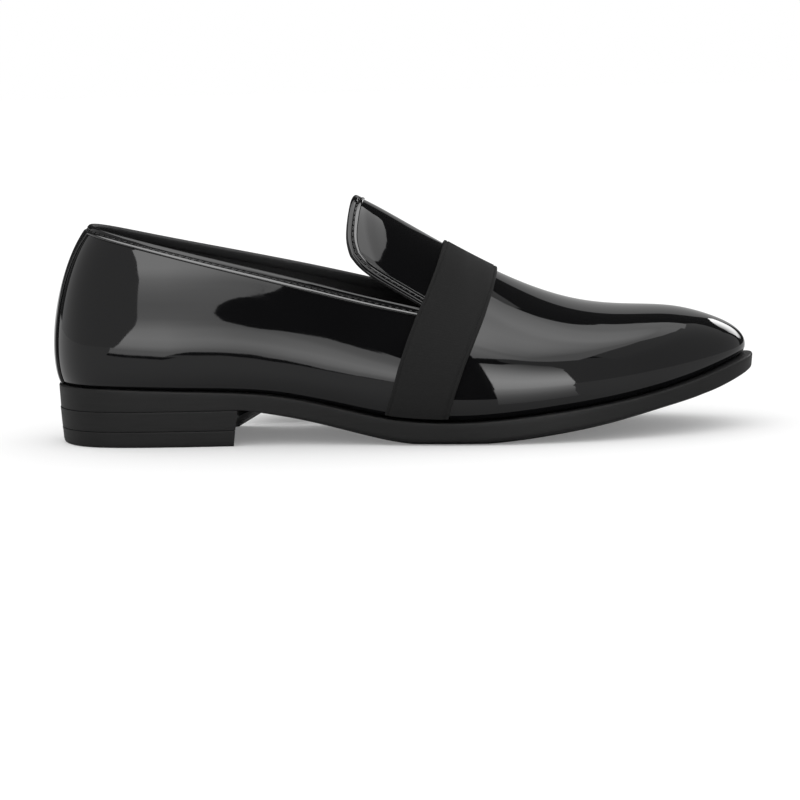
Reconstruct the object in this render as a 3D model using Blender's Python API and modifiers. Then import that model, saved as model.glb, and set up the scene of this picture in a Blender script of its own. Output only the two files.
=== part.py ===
"""Patent slip-on dress loafer for the right foot, standing empty on its sole.

The sizes in the tables are millimetres. In them x runs from the rearmost point of the upper to
the toe, y from the outer side of the foot (negative) to the inner side (positive), and z up from
the floor. The objects are made in metres, with the origin on the floor below the shoe's middle.

The upper follows a last that is worked out section by section. Going up from the sole, a section
leaves the feather line, swells to its widest level and closes over the top on a rounded curve, up
to a ridge. Behind the instep that ridge is only the top of the last: the collar is cut out of it,
and a notch on each side frees the tongue.
"""

from collections import namedtuple

import bmesh
import bpy
import numpy as np

MM = 0.001

# Driving sizes
HEEL_X = 1.2  # rearmost point of the upper, inside its back strip
UPPER_LENGTH = 298.3
HEEL_RADIUS = 30.0  # round of the heel in plan, at the widest level
TOE_RADIUS = 19.0  # round of the toe in plan
HEEL_BACK_RADIUS = 80.0  # round of the heel's back, seen from the side
TOE_NOSE_RADIUS = 7.6  # round of the toe's nose, seen from the side
TOE_SWING = 6.0  # how far the toe's point lies to the inner side
RIDGE_SHIFT = 4.0  # how far the ridge of the instep leans to the inner side
WALL = 2.0  # patent leather and its lining
SEAT_GAP = 0.3  # between pieces that touch

# The band across the vamp lies between two parallel planes that lean towards the toe
BAND_REAR_X = 137.0  # where the rear plane meets the floor
BAND_LEAN = 0.396  # run towards the toe for each unit of height
BAND_RUN = 27.3  # from the rear plane to the front one, along x
BAND_THICKNESS = 1.6

BACK_STRIP_HALF_WIDTH = 8.0
BACK_STRIP_THICKNESS = 0.7
BINDING_DEPTH = 3.6
BINDING_THICKNESS = 0.8
BAND_CLEARANCE = 0.8  # from the binding's ends to the band

INSOLE_THICKNESS = 3.0
INSOLE_CLEARANCE = 0.6

# Heel: the sole's seat, one lift and a top piece, with a joint line between them
HEEL_SEAT_Z = 15.6
HEEL_JOINT_Z = 6.9
HEEL_BREAST_X = 80.0
HEEL_BREAST_HOLLOW = 3.0
HEEL_BREAST_LEAN = 2.0  # the breast's foot lies this far behind its top
HEEL_FLARE = 1.6  # run towards the toe for each unit of height, at the breast's inner end
HEEL_TAPER = 0.6  # inset from one layer's top to its foot
HEEL_FOOT_ROUND = 1.2

SOLE_EDGE_ROUND = 0.9
SOLE_FOOT_ROUND = 1.6
SOLE_FOOT_INSET = 6.0  # from the sole's outline to its flat tread
SOLE_FOOT_LIFT = 1.5  # rise of the sole's foot at its outline

# How finely the solids are faceted
QUARTER_STATIONS = 22
VAMP_STATIONS = 22
LOWER_ROWS = 3
SIDE_ROWS = 6
TOP_ROWS = 6
TONGUE_STATIONS = 8

LATERAL, MEDIAL = -1, 1

# Plan of the last at its widest level
Width = namedtuple("Width", "x lateral medial")
WIDTHS = (
    Width(12, -24.0, 24.0),
    Width(30, -31.5, 31.3),
    Width(50, -34.0, 33.6),
    Width(75, -35.4, 34.4),
    Width(100, -36.8, 33.6),
    Width(125, -39.6, 34.4),
    Width(150, -43.4, 38.6),
    Width(175, -47.0, 45.2),
    Width(200, -47.8, 49.3),
    Width(225, -44.9, 48.9),
    Width(250, -37.4, 44.4),
    Width(270, -28.0, 37.0),
    Width(285, -17.6, 28.0),
)

# Height of the ridge; up to the tongue it is the top of the last inside the collar
Ridge = namedtuple("Ridge", "x top")
RIDGES = (
    Ridge(12, 84.8),
    Ridge(30, 102.5),
    Ridge(50, 106.5),
    Ridge(75, 109.0),
    Ridge(100, 109.5),
    Ridge(125, 105.8),
    Ridge(150, 93.0),
    Ridge(175, 78.1),
    Ridge(200, 65.0),
    Ridge(225, 56.0),
    Ridge(250, 52.8),
    Ridge(270, 51.3),
    Ridge(285, 47.1),
)

# Levels along the shoe: the feather line on the sole, the widest level of the last, how far the
# upper tucks in below it, how far the sole stands out beyond the feather line, and how much the
# section is pinched towards its ridge
Level = namedtuple("Level", "x feather widest tuck ledge pinch")
LEVELS = (
    Level(1.2, 25.6, 40.2, 2.4, 1.6, 0.0),
    Level(25, 25.2, 37.8, 2.8, 1.8, 0.0),
    Level(50, 24.2, 35.9, 3.2, 2.0, 0.0),
    Level(80, 22.9, 35.0, 4.0, 2.2, 0.05),
    Level(95, 21.5, 32.8, 4.4, 2.4, 0.10),
    Level(110, 18.8, 30.0, 4.6, 2.6, 0.16),
    Level(125, 15.4, 27.2, 4.6, 3.0, 0.23),
    Level(140, 12.0, 25.0, 4.3, 3.4, 0.28),
    Level(160, 9.8, 23.2, 3.9, 4.0, 0.30),
    Level(180, 9.7, 22.6, 3.6, 4.2, 0.26),
    Level(200, 11.2, 22.9, 3.4, 4.3, 0.18),
    Level(220, 13.4, 24.0, 3.2, 4.4, 0.08),
    Level(240, 16.0, 25.6, 2.9, 4.4, 0.0),
    Level(260, 19.6, 27.9, 2.5, 4.4, -0.04),
    Level(280, 24.6, 30.8, 2.0, 4.4, -0.04),
    Level(299.5, 30.9, 34.4, 1.5, 4.7, 0.0),
)

# Height of the collar's edge on the two quarters, from the back seam to the point of the notch
Topline = namedtuple("Topline", "x lateral medial")
TOPLINE = (
    Topline(17.3, 93.2, 93.2),
    Topline(32, 89.4, 89.2),
    Topline(66, 80.6, 81.0),
    Topline(108, 69.8, 71.8),
    Topline(150, 59.0, 61.4),
    Topline(165, 55.6, 57.4),
)
NOTCH_X = TOPLINE[-1].x

# How far the band's edges bow ahead of two leaning planes, at heights up the vamp
Bow = namedtuple("Bow", "z rear front")
BOWS = (
    Bow(12, 0.0, 0.3),
    Bow(22, -0.1, -0.5),
    Bow(33, -1.3, -0.8),
    Bow(44, -1.7, -0.2),
    Bow(54, -1.5, 0.6),
    Bow(62, -0.6, 0.8),
    Bow(72, 0.0, 0.4),
    Bow(84, 0.2, 0.0),
)

# Edge of the tongue: forward along its lower side from the rear corner, and up its rear side from that corner
Edge = namedtuple("Edge", "x z")
TONGUE_LOWER = (
    Edge(130.4, 79.8),
    Edge(133.6, 75.8),
    Edge(138.4, 71.8),
    Edge(145.8, 67.2),
    Edge(154.3, 62.4),
    Edge(165, 56.6),
)
TONGUE_REAR = (
    Edge(130.4, 79.8),
    Edge(129.0, 85.2),
    Edge(129.3, 90.6),
    Edge(130.5, 96.0),
    Edge(132.6, 101.7),
)

# Underside of the sole along its middle, ahead of the heel; it is flat where this runs below the floor
Underside = namedtuple("Underside", "x z")
UNDERSIDES = (
    Underside(82, 15.6),
    Underside(100, 11.9),
    Underside(125, 5.8),
    Underside(150, 0.4),
    Underside(170, -0.5),
    Underside(190, 0.3),
    Underside(215, 3.0),
    Underside(240, 6.9),
    Underside(265, 12.2),
    Underside(285, 16.9),
    Underside(299.5, 22.6),
)

Finish = namedtuple("Finish", "colour roughness metallic")
PATENT = Finish((0.006, 0.006, 0.007), 0.06, 0.0)
RIBBON = Finish((0.016, 0.016, 0.016), 0.85, 0.0)
RUBBER = Finish((0.020, 0.020, 0.020), 0.55, 0.0)
LINING = Finish((0.014, 0.014, 0.014), 0.70, 0.0)


def spline(xs, ys):
    """Natural cubic spline through the points, as a function of arrays."""
    xs, ys = np.asarray(xs, float), np.asarray(ys, float)
    step = np.diff(xs)
    slope = np.diff(ys) / step
    system = np.eye(len(xs))
    right = np.zeros(len(xs))
    for i in range(1, len(xs) - 1):
        system[i, i - 1 : i + 2] = step[i - 1], 2 * (step[i - 1] + step[i]), step[i]
        right[i] = 6 * (slope[i] - slope[i - 1])
    bend = np.linalg.solve(system, right)

    def value(x):
        x = np.asarray(x, float)
        i = np.clip(np.searchsorted(xs, x) - 1, 0, len(xs) - 2)
        h, t = step[i], x - xs[i]
        first = slope[i] - h * (2 * bend[i] + bend[i + 1]) / 6
        return ys[i] + t * (first + t * (bend[i] / 2 + t * (bend[i + 1] - bend[i]) / (6 * h)))

    return value


def turn_at(x):
    """Angle that runs from 0 at the heel's back to pi at the toe, slowly at both ends."""
    return np.arccos(np.clip(1 - 2 * (np.asarray(x, float) - HEEL_X) / UPPER_LENGTH, -1, 1))


def length_at(turn):
    return HEEL_X + UPPER_LENGTH * (1 - np.cos(turn)) / 2


def rounded(xs, values, heel_radius, toe_radius):
    """A size that shrinks to nothing at heel and toe, on round ends, as a function of the turn."""
    turns = turn_at(xs)
    ends = [np.sqrt(radius * UPPER_LENGTH / 2) for radius in (heel_radius, toe_radius)]
    shares = [ends[0], *(np.asarray(values, float) / np.sin(turns)), ends[1]]
    share = spline([0, *turns, np.pi], shares)
    return lambda turn: np.sin(turn) * share(turn)


def column(rows, name):
    return [getattr(row, name) for row in rows]


def middle(x):
    """The line between the two half widths, which swings to the inner side at the toe."""
    return TOE_SWING * ((np.asarray(x, float) - HEEL_X) / UPPER_LENGTH) ** 3


LEVEL_X = column(LEVELS, "x")
FEATHER, WIDEST, TUCK, LEDGE, PINCH = (
    spline(LEVEL_X, column(LEVELS, name)) for name in Level._fields[1:]
)
WIDTH_X = column(WIDTHS, "x")
HALF_WIDTH = {
    side: rounded(WIDTH_X, side * (np.array(column(WIDTHS, name)) - middle(WIDTH_X)), HEEL_RADIUS, TOE_RADIUS)
    for side, name in ((LATERAL, "lateral"), (MEDIAL, "medial"))
}
RIDGE_X = column(RIDGES, "x")
RISE = rounded(RIDGE_X, column(RIDGES, "top") - WIDEST(RIDGE_X), HEEL_BACK_RADIUS, TOE_NOSE_RADIUS)
TOPLINE_Z = {
    side: spline(column(TOPLINE, "x"), column(TOPLINE, name))
    for side, name in ((LATERAL, "lateral"), (MEDIAL, "medial"))
}
UNDERSIDE_Z = spline(column(UNDERSIDES, "x"), column(UNDERSIDES, "z"))


def section_point(side, x, height):
    """Point of the last above its widest level; height is 0 there and 1 on the ridge."""
    x, height = np.broadcast_arrays(np.asarray(x, float), np.clip(height, 0, 1))
    turn = turn_at(x)
    reach = HALF_WIDTH[side](turn) * np.sqrt(1 - height**2) * (1 - PINCH(x) * height**2)
    lean = RIDGE_SHIFT * np.sin(turn) ** 2 * height**2
    return np.stack([x, middle(x) + side * reach + lean, WIDEST(x) + height * RISE(turn)], -1)


def outline_normal(side, x):
    """Direction out of the last's outline in plan, at its widest level."""
    small = 1e-4
    turn = turn_at(x)
    ends = []
    for t in (turn - small, turn + small):
        ends.append(np.stack([length_at(t), middle(length_at(t)) + side * HALF_WIDTH[side](t)], -1))
    along = ends[1] - ends[0]
    out = np.stack([-along[..., 1], along[..., 0]], -1) * side
    return out / np.linalg.norm(out, axis=-1, keepdims=True)


def shifted(side, x, out):
    """Point of the widest outline moved out by a distance, in plan."""
    x = np.asarray(x, float)
    base = section_point(side, x, 0.0)
    base[..., :2] += outline_normal(side, x) * np.asarray(out, float)[..., None]
    return base


def lower_point(side, x, drop):
    """Point below the widest level; drop is 0 there and 1 on the feather line."""
    x, drop = np.broadcast_arrays(np.asarray(x, float), np.asarray(drop, float))
    fullness = 0.92
    inset = (1 - np.sqrt(1 - (fullness * drop) ** 2)) / (1 - np.sqrt(1 - fullness**2))
    point = shifted(side, x, -TUCK(x) * inset)
    point[..., 2] = WIDEST(x) - drop * (WIDEST(x) - FEATHER(x) - SEAT_GAP)
    return point


def sole_edge(side, x, inset=0.0):
    """Point of the sole's outline, or inside it by the inset, at the height of the feather line."""
    point = shifted(side, x, LEDGE(x) - TUCK(x) - inset)
    point[..., 2] = FEATHER(x)
    return point


def topline_rise(side, x):
    """Height of the collar's edge over the widest level."""
    return TOPLINE_Z[side](np.maximum(x, TOPLINE[0].x)) - WIDEST(x)


NOTCH_ANGLE = {
    side: float(np.arcsin(topline_rise(side, NOTCH_X) / RISE(turn_at(NOTCH_X)))) for side in (LATERAL, MEDIAL)
}
BINDING_SHARE = BINDING_DEPTH / float(topline_rise(LATERAL, 60.0))  # of the quarter's height
TONGUE_BINDING_U, TONGUE_BINDING_V = 0.105, 0.09  # the binding's depth in shares of the tongue


def back_x(share):
    """Where the level at this share of the collar's height meets the heel's back."""
    low, high = HEEL_X, TOPLINE[0].x + 5
    for _ in range(50):
        x = (low + high) / 2
        if RISE(turn_at(x)) < share * topline_rise(LATERAL, x):
            low = x
        else:
            high = x
    return high


def quarter_point(side, along, share):
    """Point of the quarter: along runs from the heel's back (0) to the notch (1), share from the
    widest level to the collar's edge."""
    start = back_x(share)
    x = start + (NOTCH_X - start) * (1 - np.cos(np.asarray(along) * np.pi / 2))
    return section_point(side, x, share * topline_rise(side, x) / RISE(turn_at(x)))


def quarter_shares(rows):
    """Shares of the collar's height at the rows of the quarters, which the vamp continues."""
    angle = NOTCH_ANGLE[LATERAL]
    return np.sin(np.linspace(0, angle, rows + 1)) / np.sin(angle)


def vamp_x(stations):
    """Stations from the notch to the toe, closer together towards the toe's point."""
    first = turn_at(NOTCH_X)
    return length_at(first + (np.pi - first) * np.linspace(0, 1, stations + 1))


def tongue_edge(rows, share):
    """Points along an edge of the tongue as pairs of x and section angle, at shares of its length."""
    x, z = np.array(rows, float).T
    run = np.concatenate([[0], np.cumsum(np.hypot(np.diff(x), np.diff(z)))])
    place = np.asarray(share) * run[-1]
    x, z = spline(run, x)(place), spline(run, z)(place)
    height = np.clip((z - WIDEST(x)) / RISE(turn_at(x)), 0, 1)
    return np.stack([x, np.arcsin(height)], -1)


def tongue_point(side, u, v):
    """Point of one half of the tongue: u runs from its rear edge to the notch, v from its lower
    edge to the ridge. The four edges are blended across the patch."""
    u, v = np.broadcast_arrays(np.asarray(u, float), np.asarray(v, float))

    def lower(share):
        edge = tongue_edge(TONGUE_LOWER, share)
        edge[..., 1] += (NOTCH_ANGLE[side] - tongue_edge(TONGUE_LOWER, 1.0)[1]) * share**4
        return edge

    def rear(share):
        edge = tongue_edge(TONGUE_REAR, share)
        edge[..., 1] += (np.pi / 2 - tongue_edge(TONGUE_REAR, 1.0)[1]) * share**2
        return edge

    def front(share):
        angle = NOTCH_ANGLE[side] * (1 - share) + np.pi / 2 * share
        return np.stack([np.full_like(share, NOTCH_X), angle], -1)

    def ridge(share):
        top = TONGUE_REAR[-1].x
        return np.stack([top + (NOTCH_X - top) * share, np.full_like(share, np.pi / 2)], -1)

    none, full = np.zeros(1), np.ones(1)
    p, q = u[..., None], v[..., None]
    sides = (1 - p) * rear(v) + p * front(v) + (1 - q) * lower(u) + q * ridge(u)
    rear_corners = (1 - q) * rear(none) + q * rear(full)
    front_corners = (1 - q) * front(none) + q * front(full)
    patch = sides - (1 - p) * rear_corners - p * front_corners
    return section_point(side, patch[..., 0], np.sin(patch[..., 1]))


def upper_grids():
    """The outside of the upper, as grids of points that meet edge to edge."""
    along = np.linspace(0, 1, QUARTER_STATIONS + 1)
    drops = np.linspace(1, 0, LOWER_ROWS + 1)
    tongue_u = np.linspace(0, 1, TONGUE_STATIONS + 1)
    tongue_v = np.linspace(0, 1, TOP_ROWS + 1)
    shares = quarter_shares(SIDE_ROWS)
    vamp = vamp_x(VAMP_STATIONS)
    quarter_x = quarter_point(LATERAL, along, 0.0)[:, 0]
    grids = []
    for side in (LATERAL, MEDIAL):
        side_heights = shares * np.sin(NOTCH_ANGLE[side])
        top_heights = np.sin(np.linspace(NOTCH_ANGLE[side], np.pi / 2, TOP_ROWS + 1))
        vamp_heights = np.concatenate([side_heights, top_heights[1:]])
        lower_x = np.concatenate([quarter_x, vamp[1:]])
        grids.append(lower_point(side, lower_x[:, None], drops[None]))
        grids.append(np.stack([quarter_point(side, along, share) for share in shares], 1))
        grids.append(section_point(side, vamp[:, None], vamp_heights[None]))
        grids.append(tongue_point(side, tongue_u[:, None], tongue_v[None]))
    return grids


def girth_point(side, place, x):
    """Point round a section: place is -1 on the feather line, 0 at the widest level and 1 on the ridge."""
    if place < 0:
        return lower_point(side, x, -place)
    return section_point(side, x, np.sin(place * np.pi / 2))


def band_x(share, z):
    """Place of the band along x at a height: its rear edge at a share of 0, its front edge at 1."""
    rear, front = (np.interp(z, column(BOWS, "z"), column(BOWS, edge)) for edge in ("rear", "front"))
    return BAND_REAR_X + BAND_LEAN * z + rear * (1 - share) + (BAND_RUN + front) * share


def band_grid():
    """Points of the vamp under the band, from the outer feather line over the ridge to the inner one."""
    below, above, across = 4, 11, 4
    places = np.concatenate([np.linspace(-0.86, 0, below + 1), np.linspace(0, 1, above + 1)[1:]])
    girth = [(LATERAL, p) for p in places] + [(MEDIAL, p) for p in places[-2::-1]]
    shares = np.linspace(0, 1, across + 1)
    grid = []
    for side, place in girth:
        x = band_x(shares, 25.0)
        for _ in range(40):
            x = band_x(shares, girth_point(side, place, x)[..., 2])
        grid.append(girth_point(side, place, x))
    return np.stack(grid)


def level_width_x(side, share, width):
    """How far along the quarter a level has come when it lies this far from the middle."""
    low, high = 0.0, 0.6
    for _ in range(40):
        along = (low + high) / 2
        if abs(quarter_point(side, along, share)[1]) < width:
            low = along
        else:
            high = along
    return high


def back_strip_grid():
    """Points of the heel's back under the strip, from the sole to just below the binding."""
    across, up = 3, 9
    widths = np.linspace(0, BACK_STRIP_HALF_WIDTH, across + 1)
    top = topline_rise(LATERAL, HEEL_X)
    shares = np.linspace(0, 1 - BINDING_SHARE - 2 * SEAT_GAP / top, up + 1)
    drops = np.linspace(0.88, 0, 4)[:-1]
    rows = []
    for side in (LATERAL, MEDIAL):
        foot_x = [quarter_point(side, level_width_x(side, 0.0, w), 0.0)[0] for w in widths]
        lower = [lower_point(side, np.array(foot_x), drop) for drop in drops]
        wall = [
            np.stack([quarter_point(side, level_width_x(side, share, w), share) for w in widths])
            for share in shares
        ]
        rows.append(np.stack(lower + wall))
    return np.concatenate([rows[0][:, :0:-1], rows[1]], 1)


def band_rear_gap(point):
    """Distance along x from a point to the rear edge of the band; negative behind it."""
    return point[..., 0] - band_x(0, point[..., 2])


def collar_binding_grid():
    """Points of the quarters under the binding, from the collar's outer end round the heel."""
    stations = 26
    shares = (1.0, 1 - BINDING_SHARE / 2, 1 - BINDING_SHARE)
    sides = []
    for side in (LATERAL, MEDIAL):
        columns = []
        for share in shares:
            fine = np.linspace(0.5, 1, 400)
            gaps = band_rear_gap(quarter_point(side, fine, share))
            last = np.interp(-BAND_CLEARANCE, gaps, fine)
            columns.append(quarter_point(side, np.linspace(0, last, stations + 1), share))
        sides.append(np.stack(columns, 1))
    return np.concatenate([sides[0][:0:-1], sides[1]])


def tongue_binding_grid():
    """Points of the tongue under its binding, from the band's outer side round the top."""
    stations = 11
    fine = np.linspace(0, 1, 200)
    still = np.zeros(200)
    sides = []
    for side in (LATERAL, MEDIAL):
        strips = []
        for share in (0.0, 0.5, 1.0):
            inset_u, inset_v = share * TONGUE_BINDING_U, share * TONGUE_BINDING_V
            lower = tongue_point(side, 1 - (1 - inset_u) * fine, still + inset_v)
            rear = tongue_point(side, still + inset_u, inset_v + (1 - inset_v) * fine)
            line = np.concatenate([lower, rear[1:]])
            places = np.arange(len(line))
            first = np.interp(-BAND_CLEARANCE, band_rear_gap(line)[::-1], places[::-1])
            below = np.linspace(first, 199, stations + 1)
            pick = np.concatenate([below, np.linspace(199, 398, stations + 1)[1:]])
            strips.append(np.stack([np.interp(pick, places, line[:, axis]) for axis in range(3)], -1))
        sides.append(np.stack(strips, 1))
    return np.concatenate([sides[0], sides[1][-2::-1]])


def sole_ring(stations, inset, height):
    """Closed ring of points inside the sole's outline; height gives z from the points' stations."""
    turns = np.linspace(0, np.pi, stations + 1)
    x = length_at(turns)
    sides = []
    for side in (LATERAL, MEDIAL):
        ring = sole_edge(side, x, inset)
        ring[:, 2] = height(x)
        sides.append(ring)
    return np.concatenate([sides[0], sides[1][-2:0:-1]])


def underside(x):
    """Height of the sole's flat middle: the heel's seat behind the breast, the floor under the ball."""
    seat = np.asarray(x) < HEEL_BREAST_X + 2
    return np.where(seat, HEEL_SEAT_Z, np.maximum(UNDERSIDE_Z(x), 0))


def sole_foot(x):
    """Height of the sole's foot at its outline, which lifts off the floor ahead of the heel."""
    return underside(x) + SOLE_FOOT_LIFT * np.clip((np.asarray(x) - HEEL_BREAST_X) / 60, 0, 1)


def sole_rings():
    stations = 40
    return [
        sole_ring(stations, SOLE_EDGE_ROUND, FEATHER),
        sole_ring(stations, 0.0, lambda x: FEATHER(x) - SOLE_EDGE_ROUND),
        sole_ring(stations, 0.0, lambda x: (FEATHER(x) + sole_foot(x)) / 2),
        sole_ring(stations, 0.4, lambda x: sole_foot(x) + SOLE_FOOT_ROUND),
        sole_ring(stations, 0.4 + SOLE_FOOT_ROUND / 3, lambda x: sole_foot(x) + SOLE_FOOT_ROUND / 3),
        sole_ring(stations, 0.4 + SOLE_FOOT_ROUND, sole_foot),
        sole_ring(stations, SOLE_FOOT_INSET, underside),
    ]


def insole_rings():
    stations = 32

    def ring(lift):
        turns = np.linspace(0, np.pi, stations + 1)
        x = length_at(turns)
        sides = []
        for side in (LATERAL, MEDIAL):
            line = shifted(side, x, -TUCK(x) - WALL - INSOLE_CLEARANCE)
            line[:, 2] = FEATHER(x) + SEAT_GAP + lift
            sides.append(line)
        return np.concatenate([sides[0], sides[1][-2:0:-1]])

    return [ring(INSOLE_THICKNESS), ring(0.0)]


def breast_ends(z):
    """Stations of the breast's ends at a height; the inner one flares forwards under the arch."""
    outer = HEEL_BREAST_X - HEEL_BREAST_LEAN * (1 - z / HEEL_SEAT_Z)
    stations = np.linspace(HEEL_BREAST_X, HEEL_BREAST_X + 30, 121)
    free = stations[underside(stations) > z + 2 * SEAT_GAP]
    return outer, max(outer, min(outer + HEEL_FLARE * z, free.max(initial=HEEL_BREAST_X)))


def heel_ring(inset, z):
    """Closed ring round the heel: its outline from the breast round the back, and its hollow breast."""
    stations, breast_points = 20, 7
    outer_x, inner_x = breast_ends(z)
    outer = sole_edge(LATERAL, length_at(np.linspace(turn_at(outer_x), 0, stations + 1)), inset)
    inner = sole_edge(MEDIAL, length_at(np.linspace(0, turn_at(inner_x), stations + 1)), inset)[1:]
    start, end = inner[-1], outer[0]
    share = np.linspace(0, 1, breast_points + 2)[1:-1, None]
    breast = start + (end - start) * share
    breast[:, 0] -= HEEL_BREAST_HOLLOW * (1 - (2 * share[:, 0] - 1) ** 2)
    ring = np.concatenate([outer, inner, breast])
    ring[:, 2] = z
    return ring


def heel_lift_rings():
    top, foot = HEEL_SEAT_Z - SEAT_GAP, HEEL_JOINT_Z + SEAT_GAP / 2
    bevel = 0.4
    high = top - bevel
    low = foot + bevel
    return [
        heel_ring(0.2 + bevel, top),
        *(heel_ring(0.2 + HEEL_TAPER * s, high * (1 - s) + low * s) for s in (0, 0.2, 0.4, 1)),
        heel_ring(0.2 + HEEL_TAPER + bevel, foot),
    ]


def top_piece_rings():
    top = HEEL_JOINT_Z - SEAT_GAP / 2
    bevel = 0.4
    inset = 0.2 + HEEL_TAPER
    return [
        heel_ring(inset + bevel, top),
        heel_ring(inset, top - bevel),
        heel_ring(inset + HEEL_TAPER, HEEL_FOOT_ROUND),
        heel_ring(inset + HEEL_TAPER + HEEL_FOOT_ROUND, 0.0),
    ]


def shoe_centre():
    """Middle of the shoe's box in plan, from the back strip to the sole's toe and from side to side."""
    ring = sole_ring(400, 0.0, FEATHER)
    back = HEEL_X - SEAT_GAP - BACK_STRIP_THICKNESS
    return np.array([(back + ring[:, 0].max()) / 2, (ring[:, 1].min() + ring[:, 1].max()) / 2, 0.0])


CENTRE = shoe_centre()


def add_grid(mesh, grid):
    """Adds a grid of points to a mesh in the making, as quads."""
    vertices = [[mesh.verts.new((point - CENTRE) * MM) for point in row] for row in grid]
    for first, second in zip(vertices, vertices[1:]):
        for i in range(len(first) - 1):
            mesh.faces.new((first[i], first[i + 1], second[i + 1], second[i]))


def finished(name, mesh, finish, collection):
    """Closes a mesh in the making and links it as a smooth object with its own material."""
    data = bpy.data.meshes.new(name)
    mesh.to_mesh(data)
    mesh.free()
    data.shade_smooth()
    data.set_sharp_from_angle(angle=np.radians(40))
    material = bpy.data.materials.new(name)
    material.use_nodes = True
    shader = material.node_tree.nodes["Principled BSDF"]
    shader.inputs["Base Color"].default_value = (*finish.colour, 1.0)
    shader.inputs["Roughness"].default_value = finish.roughness
    shader.inputs["Metallic"].default_value = finish.metallic
    data.materials.append(material)
    piece = bpy.data.objects.new(name, data)
    collection.objects.link(piece)
    return piece


def sheet(name, grids, lift, thickness, outward, finish, collection):
    """An open surface through the grids, lifted off them and given a thickness outward or inward."""
    mesh = bmesh.new()
    for grid in grids:
        add_grid(mesh, grid)
    bmesh.ops.remove_doubles(mesh, verts=mesh.verts, dist=0.02 * MM)
    bmesh.ops.recalc_face_normals(mesh, faces=mesh.faces)
    mesh.normal_update()
    heart = (np.array([150.0, 0.0, 35.0]) - CENTRE) * MM
    arms = [np.array(face.calc_center_median()) - heart for face in mesh.faces]
    outwards = [arm @ np.array(face.normal) * face.calc_area() for arm, face in zip(arms, mesh.faces)]
    if sum(outwards) < 0:
        bmesh.ops.reverse_faces(mesh, faces=mesh.faces)
        mesh.normal_update()
    moves = [v.normal * (lift * MM) for v in mesh.verts]
    for vertex, move in zip(mesh.verts, moves):
        vertex.co += move
    piece = finished(name, mesh, finish, collection)
    wall = piece.modifiers.new("Wall", "SOLIDIFY")
    wall.thickness = thickness * MM
    wall.offset = 1.0 if outward else -1.0
    wall.use_even_offset = True
    wall.use_quality_normals = True
    return piece


def ring_solid(name, rings, across, finish, collection):
    """A solid through closed rings, from the top one to the bottom one. Its ends are closed
    straight across from side to side, or else as one flat face."""
    mesh = bmesh.new()
    loops = [[mesh.verts.new((point - CENTRE) * MM) for point in ring] for ring in rings]
    count = len(loops[0])
    for first, second in zip(loops, loops[1:]):
        for i in range(count):
            j = (i + 1) % count
            mesh.faces.new((first[i], first[j], second[j], second[i]))
    for loop in (loops[0], loops[-1]):
        if not across:
            mesh.faces.new(loop)
            continue
        for i in range(count // 2):
            corners = [loop[i], loop[i + 1], loop[-i - 1], loop[-i]]
            mesh.faces.new(list(dict.fromkeys(corners)))
    bmesh.ops.recalc_face_normals(mesh, faces=mesh.faces)
    return finished(name, mesh, finish, collection)


def main():
    for item in list(bpy.data.objects):
        bpy.data.objects.remove(item)
    shoe = bpy.data.collections.new("patent_slip_on_loafer")
    bpy.context.scene.collection.children.link(shoe)

    sheet("upper", upper_grids(), 0.0, WALL, False, PATENT, shoe)
    ring_solid("outsole", sole_rings(), True, RUBBER, shoe)
    ring_solid("heel_lift", heel_lift_rings(), False, RUBBER, shoe)
    ring_solid("heel_top_piece", top_piece_rings(), False, RUBBER, shoe)
    ring_solid("insole", insole_rings(), True, LINING, shoe)
    sheet("vamp_band", [band_grid()], SEAT_GAP, BAND_THICKNESS, True, RIBBON, shoe)
    sheet("back_strip", [back_strip_grid()], SEAT_GAP, BACK_STRIP_THICKNESS, True, PATENT, shoe)
    sheet("collar_binding", [collar_binding_grid()], SEAT_GAP, BINDING_THICKNESS, True, PATENT, shoe)
    sheet("tongue_binding", [tongue_binding_grid()], SEAT_GAP, BINDING_THICKNESS, True, PATENT, shoe)


if __name__ == "__main__":
    main()
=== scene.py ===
"""Looks of a black patent slip-on loafer with a ribbon band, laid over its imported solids.

The tables are the last of the shoe in millimetres, as its source gives it: x runs from the rearmost
point of the upper to the toe, y from the outer side of the foot (negative) to the inner side, and z up
from the floor. Every piece follows that last more finely than its solid does, and stands in metres, in
the frame of the solids.
"""

import functools
from collections import namedtuple

import bpy
import numpy as np
from bpy.props import FloatProperty, FloatVectorProperty, PointerProperty
from mathutils import Matrix, Vector


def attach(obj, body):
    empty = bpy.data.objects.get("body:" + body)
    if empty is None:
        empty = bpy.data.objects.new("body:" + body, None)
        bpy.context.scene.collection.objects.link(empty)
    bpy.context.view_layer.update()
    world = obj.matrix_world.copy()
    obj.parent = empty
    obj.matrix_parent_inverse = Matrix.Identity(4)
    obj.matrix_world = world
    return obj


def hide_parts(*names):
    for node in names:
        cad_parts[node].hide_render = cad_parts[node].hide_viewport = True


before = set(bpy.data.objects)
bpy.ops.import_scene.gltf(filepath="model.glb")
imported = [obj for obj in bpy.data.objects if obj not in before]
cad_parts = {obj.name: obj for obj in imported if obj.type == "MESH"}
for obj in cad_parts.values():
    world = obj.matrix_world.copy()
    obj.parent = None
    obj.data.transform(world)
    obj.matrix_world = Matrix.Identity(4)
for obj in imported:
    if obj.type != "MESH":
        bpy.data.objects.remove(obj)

bl_info = {
    "name": "Patent slip-on loafer",
    "version": (1, 0, 0),
    "blender": (4, 5, 0),
    "location": "View3D > Sidebar > Loafer",
    "description": "Dresses the solids of a patent slip-on loafer and sets its studio",
    "category": "Object",
}

MM = 0.001
BODY = "root"
WHITE = (1.0, 1.0, 1.0, 1.0)
LATERAL, MEDIAL = -1, 1

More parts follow.
